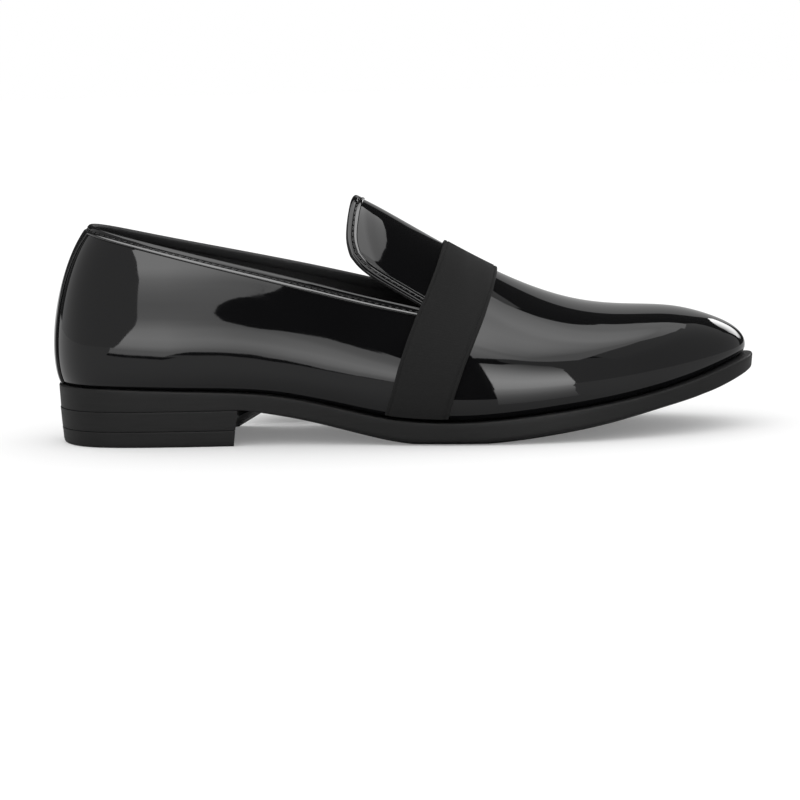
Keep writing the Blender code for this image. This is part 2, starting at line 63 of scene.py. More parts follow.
# Driving sizes of the last and the pieces on it
HEEL_X = 1.2
UPPER_LENGTH = 298.3
HEEL_RADIUS = 30.0
TOE_RADIUS = 19.0
HEEL_BACK_RADIUS = 80.0
TOE_NOSE_RADIUS = 7.6
TOE_SWING = 6.0
RIDGE_SHIFT = 4.0
WALL = 2.0
SEAT_GAP = 0.3
BAND_REAR_X = 137.0
BAND_LEAN = 0.396
BAND_RUN = 27.3
BACK_STRIP_HALF_WIDTH = 9.2
BACK_STRIP_TOP = 2.6  # from the collar's edge, under its binding
BACK_STRIP_SOLID = 0.7  # thickness of the solid strip, where the shoe's box ends
HEEL_SEAT_Z = 15.6
HEEL_JOINT_Z = 6.9
HEEL_BREAST_X = 80.0
HEEL_BREAST_HOLLOW = 3.0
HEEL_BREAST_LEAN = 2.0
HEEL_FLARE = 1.6
HEEL_FLARE_REACH = 30.0
HEEL_TAPER = 0.6
SOLE_FLAT_INSET = 6.0
SOLE_FOOT_LIFT = 1.5
SOLE_LIFT_RUN = 60.0
HEART = np.array([150.0, 0.0, 35.0])  # a point inside the shoe

# Plan of the last at its widest level
Width = namedtuple("Width", "x lateral medial")
WIDTHS = (
    Width(12, -24.0, 24.0),
    Width(30, -31.5, 31.3),
    Width(50, -34.0, 33.6),
    Width(75, -35.4, 34.4),
    Width(100, -36.8, 33.6),
    Width(125, -39.6, 34.4),
    Width(150, -43.4, 38.6),
    Width(175, -47.0, 45.2),
    Width(200, -47.8, 49.3),
    Width(225, -44.9, 48.9),
    Width(250, -37.4, 44.4),
    Width(270, -28.0, 37.0),
    Width(285, -17.6, 28.0),
)

# Height of the ridge; up to the tongue it is the top of the last inside the collar
Ridge = namedtuple("Ridge", "x top")
RIDGES = (
    Ridge(12, 84.8),
    Ridge(30, 102.5),
    Ridge(50, 106.5),
    Ridge(75, 109.0),
    Ridge(100, 109.5),
    Ridge(125, 105.8),
    Ridge(150, 93.0),
    Ridge(175, 78.1),
    Ridge(200, 65.0),
    Ridge(225, 56.0),
    Ridge(250, 52.8),
    Ridge(270, 51.3),
    Ridge(285, 47.1),
)

# The feather line on the sole, the widest level of the last, how far the upper tucks in below it, how far
# the sole stands out beyond the feather line, and how much the section is pinched towards its ridge
Level = namedtuple("Level", "x feather widest tuck ledge pinch")
LEVELS = (
    Level(1.2, 25.6, 40.2, 2.4, 1.6, 0.0),
    Level(25, 25.2, 37.8, 2.8, 1.8, 0.0),
    Level(50, 24.2, 35.9, 3.2, 2.0, 0.0),
    Level(80, 22.9, 35.0, 4.0, 2.2, 0.05),
    Level(95, 21.5, 32.8, 4.4, 2.4, 0.10),
    Level(110, 18.8, 30.0, 4.6, 2.6, 0.16),
    Level(125, 15.4, 27.2, 4.6, 3.0, 0.23),
    Level(140, 12.0, 25.0, 4.3, 3.4, 0.28),
    Level(160, 9.8, 23.2, 3.9, 4.0, 0.30),
    Level(180, 9.7, 22.6, 3.6, 4.2, 0.26),
    Level(200, 11.2, 22.9, 3.4, 4.3, 0.18),
    Level(220, 13.4, 24.0, 3.2, 4.4, 0.08),
    Level(240, 16.0, 25.6, 2.9, 4.4, 0.0),
    Level(260, 19.6, 27.9, 2.5, 4.4, -0.04),
    Level(280, 24.6, 30.8, 2.0, 4.4, -0.04),
    Level(299.5, 30.9, 34.4, 1.5, 4.7, 0.0),
)

# Height of the collar's edge on the two quarters, from the back seam to the point of the notch
Topline = namedtuple("Topline", "x lateral medial")
TOPLINE = (
    Topline(17.3, 93.2, 93.2),
    Topline(32, 89.4, 89.2),
    Topline(66, 80.6, 81.0),
    Topline(108, 69.8, 71.8),
    Topline(150, 59.0, 61.4),
    Topline(165, 55.6, 57.4),
)
NOTCH_X = TOPLINE[-1].x

# How far the band's edges bow ahead of two leaning planes, at heights up the vamp
Bow = namedtuple("Bow", "z rear front")
BOWS = (
    Bow(12, 0.0, 0.3),
    Bow(22, -0.1, -0.5),
    Bow(33, -1.3, -0.8),
    Bow(44, -1.7, -0.2),
    Bow(54, -1.5, 0.6),
    Bow(62, -0.6, 0.8),
    Bow(72, 0.0, 0.4),
    Bow(84, 0.2, 0.0),
)

# Edge of the tongue from its rear corner: forward along the lower side, and up the rear side
Edge = namedtuple("Edge", "x z")
TONGUE_LOWER = (
    Edge(130.4, 79.8),
    Edge(133.6, 75.8),
    Edge(138.4, 71.8),
    Edge(145.8, 67.2),
    Edge(154.3, 62.4),
    Edge(165, 56.6),
)
TONGUE_REAR = (
    Edge(130.4, 79.8),
    Edge(129.0, 85.2),
    Edge(129.3, 90.6),
    Edge(130.5, 96.0),
    Edge(132.6, 101.7),
)

# Underside of the sole along its middle, ahead of the heel; it is flat where this runs below the floor
Underside = namedtuple("Underside", "x z")
UNDERSIDES = (
    Underside(82, 15.6),
    Underside(100, 11.9),
    Underside(125, 5.8),
    Underside(150, 0.4),
    Underside(170, -0.5),
    Underside(190, 0.3),
    Underside(215, 3.0),
    Underside(240, 6.9),
    Underside(265, 12.2),
    Underside(285, 16.9),
    Underside(299.5, 22.6),
)


def spline(xs, ys):
    """Natural cubic spline through the points, as a function of arrays."""
    xs, ys = np.asarray(xs, float), np.asarray(ys, float)
    step = np.diff(xs)
    slope = np.diff(ys) / step
    system = np.eye(len(xs))
    right = np.zeros(len(xs))
    for i in range(1, len(xs) - 1):
        system[i, i - 1 : i + 2] = step[i - 1], 2 * (step[i - 1] + step[i]), step[i]
        right[i] = 6 * (slope[i] - slope[i - 1])
    bend = np.linalg.solve(system, right)

    def value(x):
        x = np.asarray(x, float)
        i = np.clip(np.searchsorted(xs, x) - 1, 0, len(xs) - 2)
        h, t = step[i], x - xs[i]
        first = slope[i] - h * (2 * bend[i] + bend[i + 1]) / 6
        return ys[i] + t * (first + t * (bend[i] / 2 + t * (bend[i + 1] - bend[i]) / (6 * h)))

    return value


def turn_at(x):
    """Angle that runs from 0 at the heel's back to pi at the toe, slowly at both ends."""
    return np.arccos(np.clip(1 - 2 * (np.asarray(x, float) - HEEL_X) / UPPER_LENGTH, -1, 1))


def length_at(turn):
    return HEEL_X + UPPER_LENGTH * (1 - np.cos(turn)) / 2


def rounded(xs, values, heel_radius, toe_radius):
    """A size that shrinks to nothing at heel and toe, on round ends, as a function of the turn."""
    turns = turn_at(xs)
    ends = [np.sqrt(radius * UPPER_LENGTH / 2) for radius in (heel_radius, toe_radius)]
    share = spline([0, *turns, np.pi], [ends[0], *(np.asarray(values, float) / np.sin(turns)), ends[1]])
    return lambda turn: np.sin(turn) * share(turn)


def column(rows, name):
    return [getattr(row, name) for row in rows]


def middle(x):
    """The line between the two half widths, which swings to the inner side at the toe."""
    return TOE_SWING * ((np.asarray(x, float) - HEEL_X) / UPPER_LENGTH) ** 3


LEVEL_X = column(LEVELS, "x")
FEATHER, WIDEST, TUCK, LEDGE, PINCH = (
    spline(LEVEL_X, column(LEVELS, name)) for name in Level._fields[1:]
)
WIDTH_X = column(WIDTHS, "x")
SIDE_NAMES = ((LATERAL, "lateral"), (MEDIAL, "medial"))
HALF_WIDTH = {
    side: rounded(
        WIDTH_X, side * (np.array(column(WIDTHS, name)) - middle(WIDTH_X)), HEEL_RADIUS, TOE_RADIUS
    )
    for side, name in SIDE_NAMES
}
RIDGE_X = column(RIDGES, "x")
RISE = rounded(RIDGE_X, column(RIDGES, "top") - WIDEST(RIDGE_X), HEEL_BACK_RADIUS, TOE_NOSE_RADIUS)
TOPLINE_Z = {side: spline(column(TOPLINE, "x"), column(TOPLINE, name)) for side, name in SIDE_NAMES}
UNDERSIDE_Z = spline(column(UNDERSIDES, "x"), column(UNDERSIDES, "z"))


def section_point(side, x, height):
    """Point of the last above its widest level; height is 0 there and 1 on the ridge."""
    x, height = np.broadcast_arrays(np.asarray(x, float), np.clip(height, 0, 1))
    turn = turn_at(x)
    reach = HALF_WIDTH[side](turn) * np.sqrt(1 - height**2) * (1 - PINCH(x) * height**2)
    lean = RIDGE_SHIFT * np.sin(turn) ** 2 * height**2
    return np.stack([x, middle(x) + side * reach + lean, WIDEST(x) + height * RISE(turn)], -1)


def outline_normal(side, x):
    """Direction out of the last's outline in plan, at its widest level."""
    small = 1e-4
    ends = []
    start = turn_at(x)
    for turn in (start - small, start + small):
        x = length_at(turn)
        ends.append(np.stack([x, middle(x) + side * HALF_WIDTH[side](turn)], -1))
    along = ends[1] - ends[0]
    out = np.stack([-along[..., 1], along[..., 0]], -1) * side
    return out / np.linalg.norm(out, axis=-1, keepdims=True)


def shifted(side, x, out):
    """Point of the widest outline moved out by a distance, in plan."""
    x = np.asarray(x, float)
    base = section_point(side, x, 0.0)
    base[..., :2] += outline_normal(side, x) * np.asarray(out, float)[..., None]
    return base


def lower_point(side, x, drop):
    """Point below the widest level; drop is 0 there and 1 on the feather line."""
    x, drop = np.broadcast_arrays(np.asarray(x, float), np.asarray(drop, float))
    fullness = 0.92
    inset = (1 - np.sqrt(1 - (fullness * drop) ** 2)) / (1 - np.sqrt(1 - fullness**2))
    point = shifted(side, x, -TUCK(x) * inset)
    point[..., 2] = WIDEST(x) - drop * (WIDEST(x) - FEATHER(x) - SEAT_GAP)
    return point


def sole_edge(side, x, inset=0.0):
    """Point of the sole's outline, or inside it by the inset, at the height of the feather line."""
    point = shifted(side, x, LEDGE(x) - TUCK(x) - inset)
    point[..., 2] = FEATHER(x)
    return point


def topline_rise(side, x):
    """Height of the collar's edge over the widest level."""
    return TOPLINE_Z[side](np.maximum(x, TOPLINE[0].x)) - WIDEST(x)


NOTCH_ANGLE = {
    side: float(np.arcsin(topline_rise(side, NOTCH_X) / RISE(turn_at(NOTCH_X))))
    for side in (LATERAL, MEDIAL)
}


def back_x(share):
    """Where the level at this share of the collar's height meets the heel's back."""
    margin, halvings = 5, 50
    low = np.full(np.shape(share), HEEL_X)
    high = np.full(np.shape(share), TOPLINE[0].x + margin)
    for _ in range(halvings):
        x = (low + high) / 2
        under = RISE(turn_at(x)) < share * topline_rise(LATERAL, x)
        low, high = np.where(under, x, low), np.where(under, high, x)
    return high


def quarter_point(side, along, share):
    """Point of the quarter: along runs from the heel's back (0) to the notch (1), share from the widest
    level to the collar's edge."""
    along, share = np.broadcast_arrays(np.asarray(along, float), np.asarray(share, float))
    start = back_x(share)
    x = start + (NOTCH_X - start) * (1 - np.cos(along * np.pi / 2))
    return section_point(side, x, share * topline_rise(side, x) / RISE(turn_at(x)))


def tongue_edge(rows, share):
    """Points along an edge of the tongue as pairs of x and section angle, at shares of its length."""
    x, z = np.array(rows, float).T
    run = np.concatenate([[0], np.cumsum(np.hypot(np.diff(x), np.diff(z)))])
    place = np.asarray(share) * run[-1]
    x, z = spline(run, x)(place), spline(run, z)(place)
    height = np.clip((z - WIDEST(x)) / RISE(turn_at(x)), 0, 1)
    return np.stack([x, np.arcsin(height)], -1)


def tongue_lower(side, share):
    """The tongue's lower edge as x and section angle, from its rear end to the notch."""
    edge = tongue_edge(TONGUE_LOWER, share)
    edge[..., 1] += (NOTCH_ANGLE[side] - tongue_edge(TONGUE_LOWER, 1.0)[1]) * share**4
    return edge


def tongue_rear(share):
    """The tongue's rear edge as x and section angle, from its lower end to the ridge."""
    edge = tongue_edge(TONGUE_REAR, share)
    edge[..., 1] += (np.pi / 2 - tongue_edge(TONGUE_REAR, 1.0)[1]) * share**2
    return edge


def tongue_point(side, u, v):
    """Point of one half of the tongue: u runs from its rear edge to the notch, v from its lower edge to the
    ridge. The four edges are blended across the patch."""
    u, v = np.broadcast_arrays(np.asarray(u, float), np.asarray(v, float))

    def front(share):
        angle = NOTCH_ANGLE[side] * (1 - share) + np.pi / 2 * share
        return np.stack([np.full_like(share, NOTCH_X), angle], -1)

    def ridge(share):
        top = TONGUE_REAR[-1].x
        return np.stack([top + (NOTCH_X - top) * share, np.full_like(share, np.pi / 2)], -1)

    none, full = np.zeros(1), np.ones(1)
    p, q = u[..., None], v[..., None]
    sides = (1 - p) * tongue_rear(v) + p * front(v) + (1 - q) * tongue_lower(side, u) + q * ridge(u)
    rear_corners = (1 - q) * tongue_rear(none) + q * tongue_rear(full)
    corners = (1 - p) * rear_corners + p * ((1 - q) * front(none) + q * front(full))
    patch = sides - corners
    return section_point(side, patch[..., 0], np.sin(patch[..., 1]))


def round_point(x, angle):
    """Point of the last at an angle round its section: 0 at the outer widest level, pi at the inner one."""
    outer = section_point(LATERAL, x, np.sin(np.clip(angle, 0, np.pi / 2)))
    inner = section_point(MEDIAL, x, np.sin(np.clip(np.pi - angle, 0, np.pi / 2)))
    return np.where(angle[..., None] <= np.pi / 2, outer, inner)


def plan_ring(stations, line):
    """Closed ring round the shoe; line gives the points of one side at stations along it."""
    x = length_at(np.linspace(0, np.pi, stations + 1))
    return np.concatenate([line(LATERAL, x), line(MEDIAL, x)[-2:0:-1]])


def sole_ring(stations, inset, height):
    """Closed ring inside the sole's outline; inset and height are functions of its points' stations."""

    def line(side, x):
        edge = sole_edge(side, x, inset(x))
        edge[:, 2] = height(x)
        return edge

    return plan_ring(stations, line)


def underside(x):
    """Height of the sole's flat middle: the heel's seat behind the breast, the floor under the ball."""
    seat = np.asarray(x) < UNDERSIDES[0].x
    return np.where(seat, HEEL_SEAT_Z, np.maximum(UNDERSIDE_Z(x), 0))


def sole_foot(x):
    """Height of the sole's foot at its outline, which lifts off the floor ahead of the heel."""
    return underside(x) + SOLE_FOOT_LIFT * np.clip((np.asarray(x) - HEEL_BREAST_X) / SOLE_LIFT_RUN, 0, 1)


def breast_ends(z):
    """Stations of the breast's two ends at a height; the inner one flares forwards under the arch."""
    outer = HEEL_BREAST_X - HEEL_BREAST_LEAN * (1 - z / HEEL_SEAT_Z)
    stations = np.linspace(HEEL_BREAST_X, HEEL_BREAST_X + HEEL_FLARE_REACH, 121)
    free = stations[underside(stations) > z + 2 * SEAT_GAP]
    return outer, max(outer, min(outer + HEEL_FLARE * z, free.max(initial=HEEL_BREAST_X)))


def heel_ring(inset, z, stations=60, breast_points=23):
    """Closed ring round the heel: its outline from the breast round the back, and its hollow breast."""
    outer_x, inner_x = breast_ends(z)
    outer = sole_edge(LATERAL, length_at(np.linspace(turn_at(outer_x), 0, stations + 1)), inset)
    inner = sole_edge(MEDIAL, length_at(np.linspace(0, turn_at(inner_x), stations + 1)), inset)[1:]
    share = np.linspace(0, 1, breast_points + 2)[1:-1, None]
    breast = inner[-1] + (outer[0] - inner[-1]) * share
    breast[:, 0] -= HEEL_BREAST_HOLLOW * (1 - (2 * share[:, 0] - 1) ** 2) + inset
    ring = np.concatenate([outer, inner, breast])
    ring[:, 2] = z
    return ring


def shoe_centre():
    """Middle of the shoe's box in plan, which is the frame's origin."""
    stations = 400
    ring = sole_ring(stations, np.zeros_like, FEATHER)
    back = HEEL_X - SEAT_GAP - BACK_STRIP_SOLID
    return np.array([(back + ring[:, 0].max()) / 2, (ring[:, 1].min() + ring[:, 1].max()) / 2, 0.0])


CENTRE = shoe_centre()


def upper_grids():
    """The outside of the upper, as grids of points that meet edge to edge."""
    quarter_stations, vamp_stations, tongue_stations = 96, 110, 40
    lower_rows, side_rows, top_rows = 10, 28, 36
    along = np.linspace(0, 1, quarter_stations + 1)[:, None]
    drops = np.linspace(1, 0, lower_rows + 1)[None]
    angle = NOTCH_ANGLE[LATERAL]
    shares = np.sin(np.linspace(0, angle, side_rows + 1))[None] / np.sin(angle)
    first = turn_at(NOTCH_X)
    vamp = length_at(first + (np.pi - first) * np.linspace(0, 1, vamp_stations + 1))[:, None]
    lower_x = np.concatenate([quarter_point(LATERAL, along, 0.0)[:, :, 0], vamp[1:]])
    tongue_u = np.linspace(0, 1, tongue_stations + 1)[:, None]
    tongue_v = np.linspace(0, 1, top_rows + 1)[None]
    grids = []
    for side in (LATERAL, MEDIAL):
        side_heights = shares[0] * np.sin(NOTCH_ANGLE[side])
        top_heights = np.sin(np.linspace(NOTCH_ANGLE[side], np.pi / 2, top_rows + 1))
        grids.append(lower_point(side, lower_x, drops))
        grids.append(quarter_point(side, along, shares))
        grids.append(section_point(side, vamp, np.concatenate([side_heights, top_heights[1:]])[None]))
        grids.append(tongue_point(side, tongue_u, tongue_v))
    return grids


def evenly(line, spacing):
    """Places along a line of points that lie about this far apart, as fractions of its index."""
    run = np.concatenate([[0], np.cumsum(np.linalg.norm(np.diff(line, axis=0), axis=1))])
    count = max(2, int(round(run[-1] / spacing)))
    return np.interp(np.linspace(0, run[-1], count + 1), run, np.arange(len(line)))


def picked(line, places):
    """Points of a line at fractions of its index."""
    index = np.arange(len(line))
    return np.stack([np.interp(places, index, line[:, axis]) for axis in range(line.shape[1])], -1)


def band_x(share, z):
    """Place of the band along x at a height: its rear edge at a share of 0, its front edge at 1."""
    rear, front = (np.interp(z, column(BOWS, "z"), column(BOWS, edge)) for edge in ("rear", "front"))
    return BAND_REAR_X + BAND_LEAN * z + rear * (1 - share) + (BAND_RUN + front) * share


def behind_band(point):
    """Distance along x from a point to the rear edge of the band; negative ahead of it."""
    return band_x(0, point[..., 2]) - point[..., 0]


# Grids under the strips have columns this far apart, counted from the strip's own edge
STRIP_COLUMN = 0.35


def collar_grid(depth, tucked):
    """Points of the quarters below the collar's edge, from under the band on the outer side round the heel
    to the inner side."""
    samples, spacing, small = 1500, 1.0, 0.02
    columns = int(np.ceil(depth / STRIP_COLUMN)) + 1
    sides = []
    for side in (LATERAL, MEDIAL):
        fine = np.linspace(0, 1, samples)
        edge = quarter_point(side, fine, 1.0)
        last = np.interp(tucked, -behind_band(edge), fine)
        fine = np.linspace(0, last, samples)
        edge = quarter_point(side, fine, 1.0)
        along = np.interp(evenly(edge, spacing), np.arange(samples), fine)[:, None]
        step = quarter_point(side, along, 1.0) - quarter_point(side, along, 1 - small)
        scale = np.linalg.norm(step, axis=-1) / small
        shares = 1 - STRIP_COLUMN * np.arange(columns)[None] / scale
        sides.append(quarter_point(side, along, shares))
    return np.concatenate([sides[0][:0:-1], sides[1]])


def tongue_grid(depth, tucked):
    """Points of the tongue inside its edge, from under the band on the outer side round its top to the
    inner side."""
    samples, spacing, small = 800, 0.8, 1e-3
    share = np.linspace(0, 1, samples)
    halves = []
    for side in (LATERAL, MEDIAL):
        line = np.concatenate([tongue_lower(side, share[::-1]), tongue_rear(share[1:])])
        edge = section_point(side, line[:samples, 0], np.sin(line[:samples, 1]))
        first = np.interp(-tucked, behind_band(edge), np.arange(samples))
        line = picked(line, np.linspace(first, len(line) - 1, 2 * samples))
        if side == MEDIAL:
            line = np.stack([line[:, 0], np.pi - line[:, 1]], -1)[-2::-1]
        halves.append(line)
    line = np.concatenate(halves)
    x, angle = picked(line, evenly(round_point(*line.T), spacing)).T
    edge = round_point(x, angle)
    along_x = (round_point(x + small, angle) - edge) / small
    along_angle = (round_point(x, angle + small) - edge) / small
    out = np.cross(along_x, along_angle)
    inward = np.cross(out, np.gradient(edge, axis=0))
    inward *= np.sign(inward[:, :1])
    inward /= np.linalg.norm(inward, axis=1, keepdims=True)
    system = np.stack([along_x, along_angle], -1)
    moves = np.stack([np.linalg.lstsq(m, d, rcond=None)[0] for m, d in zip(system, inward)])
    depths = STRIP_COLUMN * np.arange(int(np.ceil(depth / STRIP_COLUMN)) + 1)[None]
    return round_point(x[:, None] + moves[:, :1] * depths, angle[:, None] + moves[:, 1:] * depths)


def girth_point(side, place, x):
    """Point round a section: place is -1 on the feather line, 0 at the widest level and 1 on the ridge."""
    if place < 0:
        return lower_point(side, x, -place)
    return section_point(side, x, np.sin(place * np.pi / 2))


def band_grid():
    """Points of the vamp under the band, from the outer feather line over the ridge to the inner one. Its
    columns run from the rear edge to the front one."""
    foot, lower_rows, upper_rows, columns = -0.84, 16, 72, 78
    first_z, rounds = 25.0, 40
    places = np.concatenate([np.linspace(foot, 0, lower_rows + 1), np.linspace(0, 1, upper_rows + 1)[1:]])
    girth = [(LATERAL, p) for p in places] + [(MEDIAL, p) for p in places[-2::-1]]
    shares = np.linspace(0, 1, columns + 1)
    grid = []
    for side, place in girth:
        x = band_x(shares, first_z)
        for _ in range(rounds):
            x = band_x(shares, girth_point(side, place, x)[..., 2])
        grid.append(girth_point(side, place, x))
    return np.stack(grid)


def back_strip_grid(top_depth):
    """Points of the heel's back under the strip, from the sole to under the collar's binding."""
    columns, lower_rows, upper_rows, samples = 23, 16, 59, 400
    forward, foot = 0.6, 0.97  # shares of the quarter's length, and of the drop to the feather line
    widths = np.linspace(0, BACK_STRIP_HALF_WIDTH, columns + 1)
    top = 1 - top_depth / float(topline_rise(LATERAL, HEEL_X))
    sides = []
    for side in (LATERAL, MEDIAL):
        rows = []
        fine = np.linspace(0, forward, samples)
        widest = quarter_point(side, fine, 0.0)
        lower_x = np.interp(widths, np.abs(widest[:, 1]), widest[:, 0])
        for drop in np.linspace(foot, 0, lower_rows + 1)[:-1]:
            rows.append(lower_point(side, lower_x, drop))
        for share in np.linspace(0, top, upper_rows + 1):
            level = quarter_point(side, fine, share)
            offset = np.abs(level[:, 1] - level[0, 1])
            rows.append(picked(level, np.interp(widths, offset, np.arange(len(fine)))))
        sides.append(np.stack(rows))
    return np.concatenate([sides[0][:, :0:-1], sides[1]], 1)


def laid(grid, profile, column=STRIP_COLUMN):
    """Sections of a strip that lies on a grid of surface points. A profile point gives its depth from the
    grid's first edge, negative beyond that edge, and its height over the surface."""
    normals = np.cross(np.gradient(grid, axis=0), np.gradient(grid, axis=1))
    normals /= np.linalg.norm(normals, axis=-1, keepdims=True)
    if np.sum(normals * (grid - HEART)) < 0:
        normals = -normals
    beyond = grid[:, 0] - grid[:, 1]
    beyond /= np.linalg.norm(beyond, axis=1, keepdims=True)
    sections = []
    for depth, lift in profile:
        place = np.clip(depth / column, 0, grid.shape[1] - 1.001)
        i, t = int(place), place - int(place)
        base = (1 - t) * grid[:, i] + t * grid[:, i + 1]
        normal = (1 - t) * normals[:, i] + t * normals[:, i + 1]
        sections.append(base + lift * normal + max(-depth, 0.0) * beyond)
    return np.stack(sections, 1)


def arc(depth, lift, radius, start, end, steps):
    """Points of a round in a profile: its centre, and its angles in degrees, 0 along the depth."""
    angles = np.radians(np.linspace(start, end, steps + 1))
    return [(depth + radius * np.cos(a), lift + radius * np.sin(a)) for a in angles]


def crowned(rise, width, height, margin, points):
    """Profile of a strip: its rise at one edge, its level crown between the margins, and its fall."""
    crown = [(share * width, height) for share in np.linspace(margin, 1 - margin, points)]
    return rise + crown + [(width - depth, lift) for depth, lift in rise[::-1]]


def linear(code):
    """A colour in linear light from its sRGB hex value."""
    parts = [int(code[i : i + 2], 16) / 255 for i in (0, 2, 4)]
    return (*(p / 12.92 if p <= 0.04045 else ((p + 0.055) / 1.055) ** 2.4 for p in parts), 1.0)


def deselect():
    bpy.ops.object.select_all(action="DESELECT")


def select_only(*pieces):
    """Selects these pieces alone, with the first one active."""
    deselect()
    for piece in pieces:
        piece.select_set(True)
    bpy.context.view_layer.objects.active = pieces[0]


def shaped_grid(name, grid, uv_size=None):
    """A primitive grid with its points laid on a grid of points. Its UV map can be spread to a size in
    millimetres."""
    deselect()
    rows, columns = grid.shape[0] - 1, grid.shape[1] - 1
    bpy.ops.mesh.primitive_grid_add(x_subdivisions=columns, y_subdivisions=rows, size=1.0)
    piece = bpy.context.object
    piece.name = piece.data.name = name
    flat = np.empty(len(piece.data.vertices) * 3)
    piece.data.vertices.foreach_get("co", flat)
    place = np.rint((flat.reshape(-1, 3)[:, :2] + 0.5) * (columns, rows)).astype(int)
    points = (grid[place[:, 1], place[:, 0]] - CENTRE) * MM
    piece.data.vertices.foreach_set("co", points.ravel())
    if uv_size:
        uv = np.empty(len(piece.data.loops) * 2)
        piece.data.uv_layers.active.data.foreach_get("uv", uv)
        piece.data.uv_layers.active.data.foreach_set("uv", (uv.reshape(-1, 2) * uv_size).ravel())
    return piece


def joined(name, pieces):
    """Joins pieces to one object of this name."""
    select_only(*pieces)
    if len(pieces) > 1:
        bpy.ops.object.join()
    whole = bpy.context.object
    whole.name = whole.data.name = name
    return whole


def sewn(name, pieces, closed, merge=0.01):
    """Joins grids that meet edge to edge, closes holes where asked, and turns the faces outwards."""
    whole = joined(name, pieces)
    bpy.ops.object.mode_set(mode="EDIT")
    bpy.ops.mesh.select_all(action="SELECT")
    bpy.ops.mesh.remove_doubles(threshold=merge * MM)
    if closed:
        bpy.ops.mesh.fill_holes(sides=0)
        bpy.ops.mesh.select_all(action="SELECT")
    bpy.ops.mesh.normals_make_consistent(inside=False)
    bpy.ops.object.mode_set(mode="OBJECT")
    heart = Vector((HEART - CENTRE) * MM)
    if not closed and sum((f.center - heart).dot(f.normal) * f.area for f in whole.data.polygons) < 0:
        bpy.ops.object.mode_set(mode="EDIT")
        bpy.ops.mesh.select_all(action="SELECT")
        bpy.ops.mesh.flip_normals()
        bpy.ops.object.mode_set(mode="OBJECT")
    return whole


def swept(name, sections, uv_size=None):
    """A solid through sections that are closed loops, with flat ends."""
    tube = np.concatenate([sections, sections[:, :1]], 1)
    return sewn(name, [shaped_grid(name, tube, uv_size)], closed=True)


def ring_solid(name, rings, across):
    """A solid through closed rings, from the top one to the bottom one. Its ends are closed from side to
    side with this many strips, or with one flat face each if none are asked for."""
    rings = np.stack(rings)
    pieces = [shaped_grid(name, np.concatenate([rings, rings[:, :1]], 1))]
    if across:
        half = rings.shape[1] // 2
        share = np.linspace(0, 1, across + 1)[None, :, None]
        for ring in (rings[0], rings[-1]):
            inner = np.concatenate([ring[:1], ring[: half - 1 : -1]])
            pieces.append(shaped_grid(name, ring[: half + 1, None] * (1 - share) + inner[:, None] * share))
    return sewn(name, pieces, closed=True)


def applied(piece, kind, **settings):
    """Adds a modifier with these settings and applies it."""
    select_only(piece)
    made = piece.modifiers.new(kind.title(), kind)
    for name, value in settings.items():
        setattr(made, name, value)
    bpy.ops.object.modifier_apply(modifier=made.name)


def dressed(piece, materials, nodes, smooth_angle=40.0):
    """Gives a finished piece its materials and smooth shading, hangs it on the body, and hides the solids it
    stands for.
    """
    for material in materials:
        piece.data.materials.append(material)
    select_only(piece)
    bpy.ops.object.shade_smooth_by_angle(angle=np.radians(smooth_angle))
    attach(piece, BODY)
    if nodes:
        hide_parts(*nodes)
    return piece


def add_node(tree, kind, inputs=None, **settings):
    """Adds a shader node with its settings; inputs holds values or the sockets they are linked from."""
    made = tree.nodes.new(f"ShaderNode{kind}")
    for name, value in settings.items():
        setattr(made, name, value)
    for name, value in (inputs or {}).items():
        if isinstance(value, bpy.types.NodeSocket):
            tree.links.new(value, made.inputs[name])
        else:
            made.inputs[name].default_value = value
    return made


def new_material(name):
    """A material with an empty node tree, and the function that adds nodes to it."""
    material = bpy.data.materials.new(name)
    material.use_nodes = True
    material.node_tree.nodes.clear()
    return material, functools.partial(add_node, material.node_tree)


WAVE_PERIOD = 2 * np.pi / 20  # of Blender's wave texture at scale 1


def per_metre(size):
    """Texture scale on Object coordinates for a pattern of this size in millimetres."""
    return 1 / (size * MM)


@functools.cache
def piping_leather():
    """Patent leather drawn over a cord and lacquered once more, so that it shines more than the rest."""
    material, node = new_material("lacquered_piping")
    shader = node(
        "BsdfPrincipled",
        {
            "Base Color": bpy.context.scene.loafer_colours.patent,
            "Roughness": 0.06,
            "IOR": 1.44,
            "Coat Weight": 1.0,
            "Coat Roughness": 0.06,
            "Coat IOR": 1.5,
        },
    )
    node("OutputMaterial", {"Surface": shader.outputs["BSDF"]})
    return material


@functools.cache
def patent_leather():
    """Leather under a cast polyurethane film: near black and mirror-like, with the hide's slow waviness."""
    colours = bpy.context.scene.loafer_colours
    material, node = new_material("black_patent_leather")
    place = node("TexCoord").outputs["Object"]
    hide = node("TexNoise", {"Vector": place, "Scale": per_metre(22.0), "Detail": 1.0})
    film = node("TexNoise", {"Vector": place, "Scale": per_metre(1.6), "Detail": 2.0})
    wave = node("Bump", {"Height": hide.outputs["Fac"], "Strength": 1.0, "Distance": 0.06 * MM})
    peel = node(
        "Bump",
        {
            "Height": film.outputs["Fac"],
            "Strength": 1.0,
            "Distance": 0.0012 * MM,
            "Normal": wave.outputs["Normal"],
        },
    )
    tone = node(
        "Mix",
        {"Factor": hide.outputs["Fac"], "A": colours.patent, "B": colours.patent_deep},
        data_type="RGBA",
    )
    polish = node("MapRange", {"Value": film.outputs["Fac"], "To Min": 0.02, "To Max": 0.05})
    shader = node(
        "BsdfPrincipled",
        {
            "Base Color": tone.outputs["Result"],
            "Roughness": polish.outputs["Result"],
            "IOR": 1.44,
            "Normal": peel.outputs["Normal"],
        },
    )
    node("OutputMaterial", {"Surface": shader.outputs["BSDF"]})
    return material


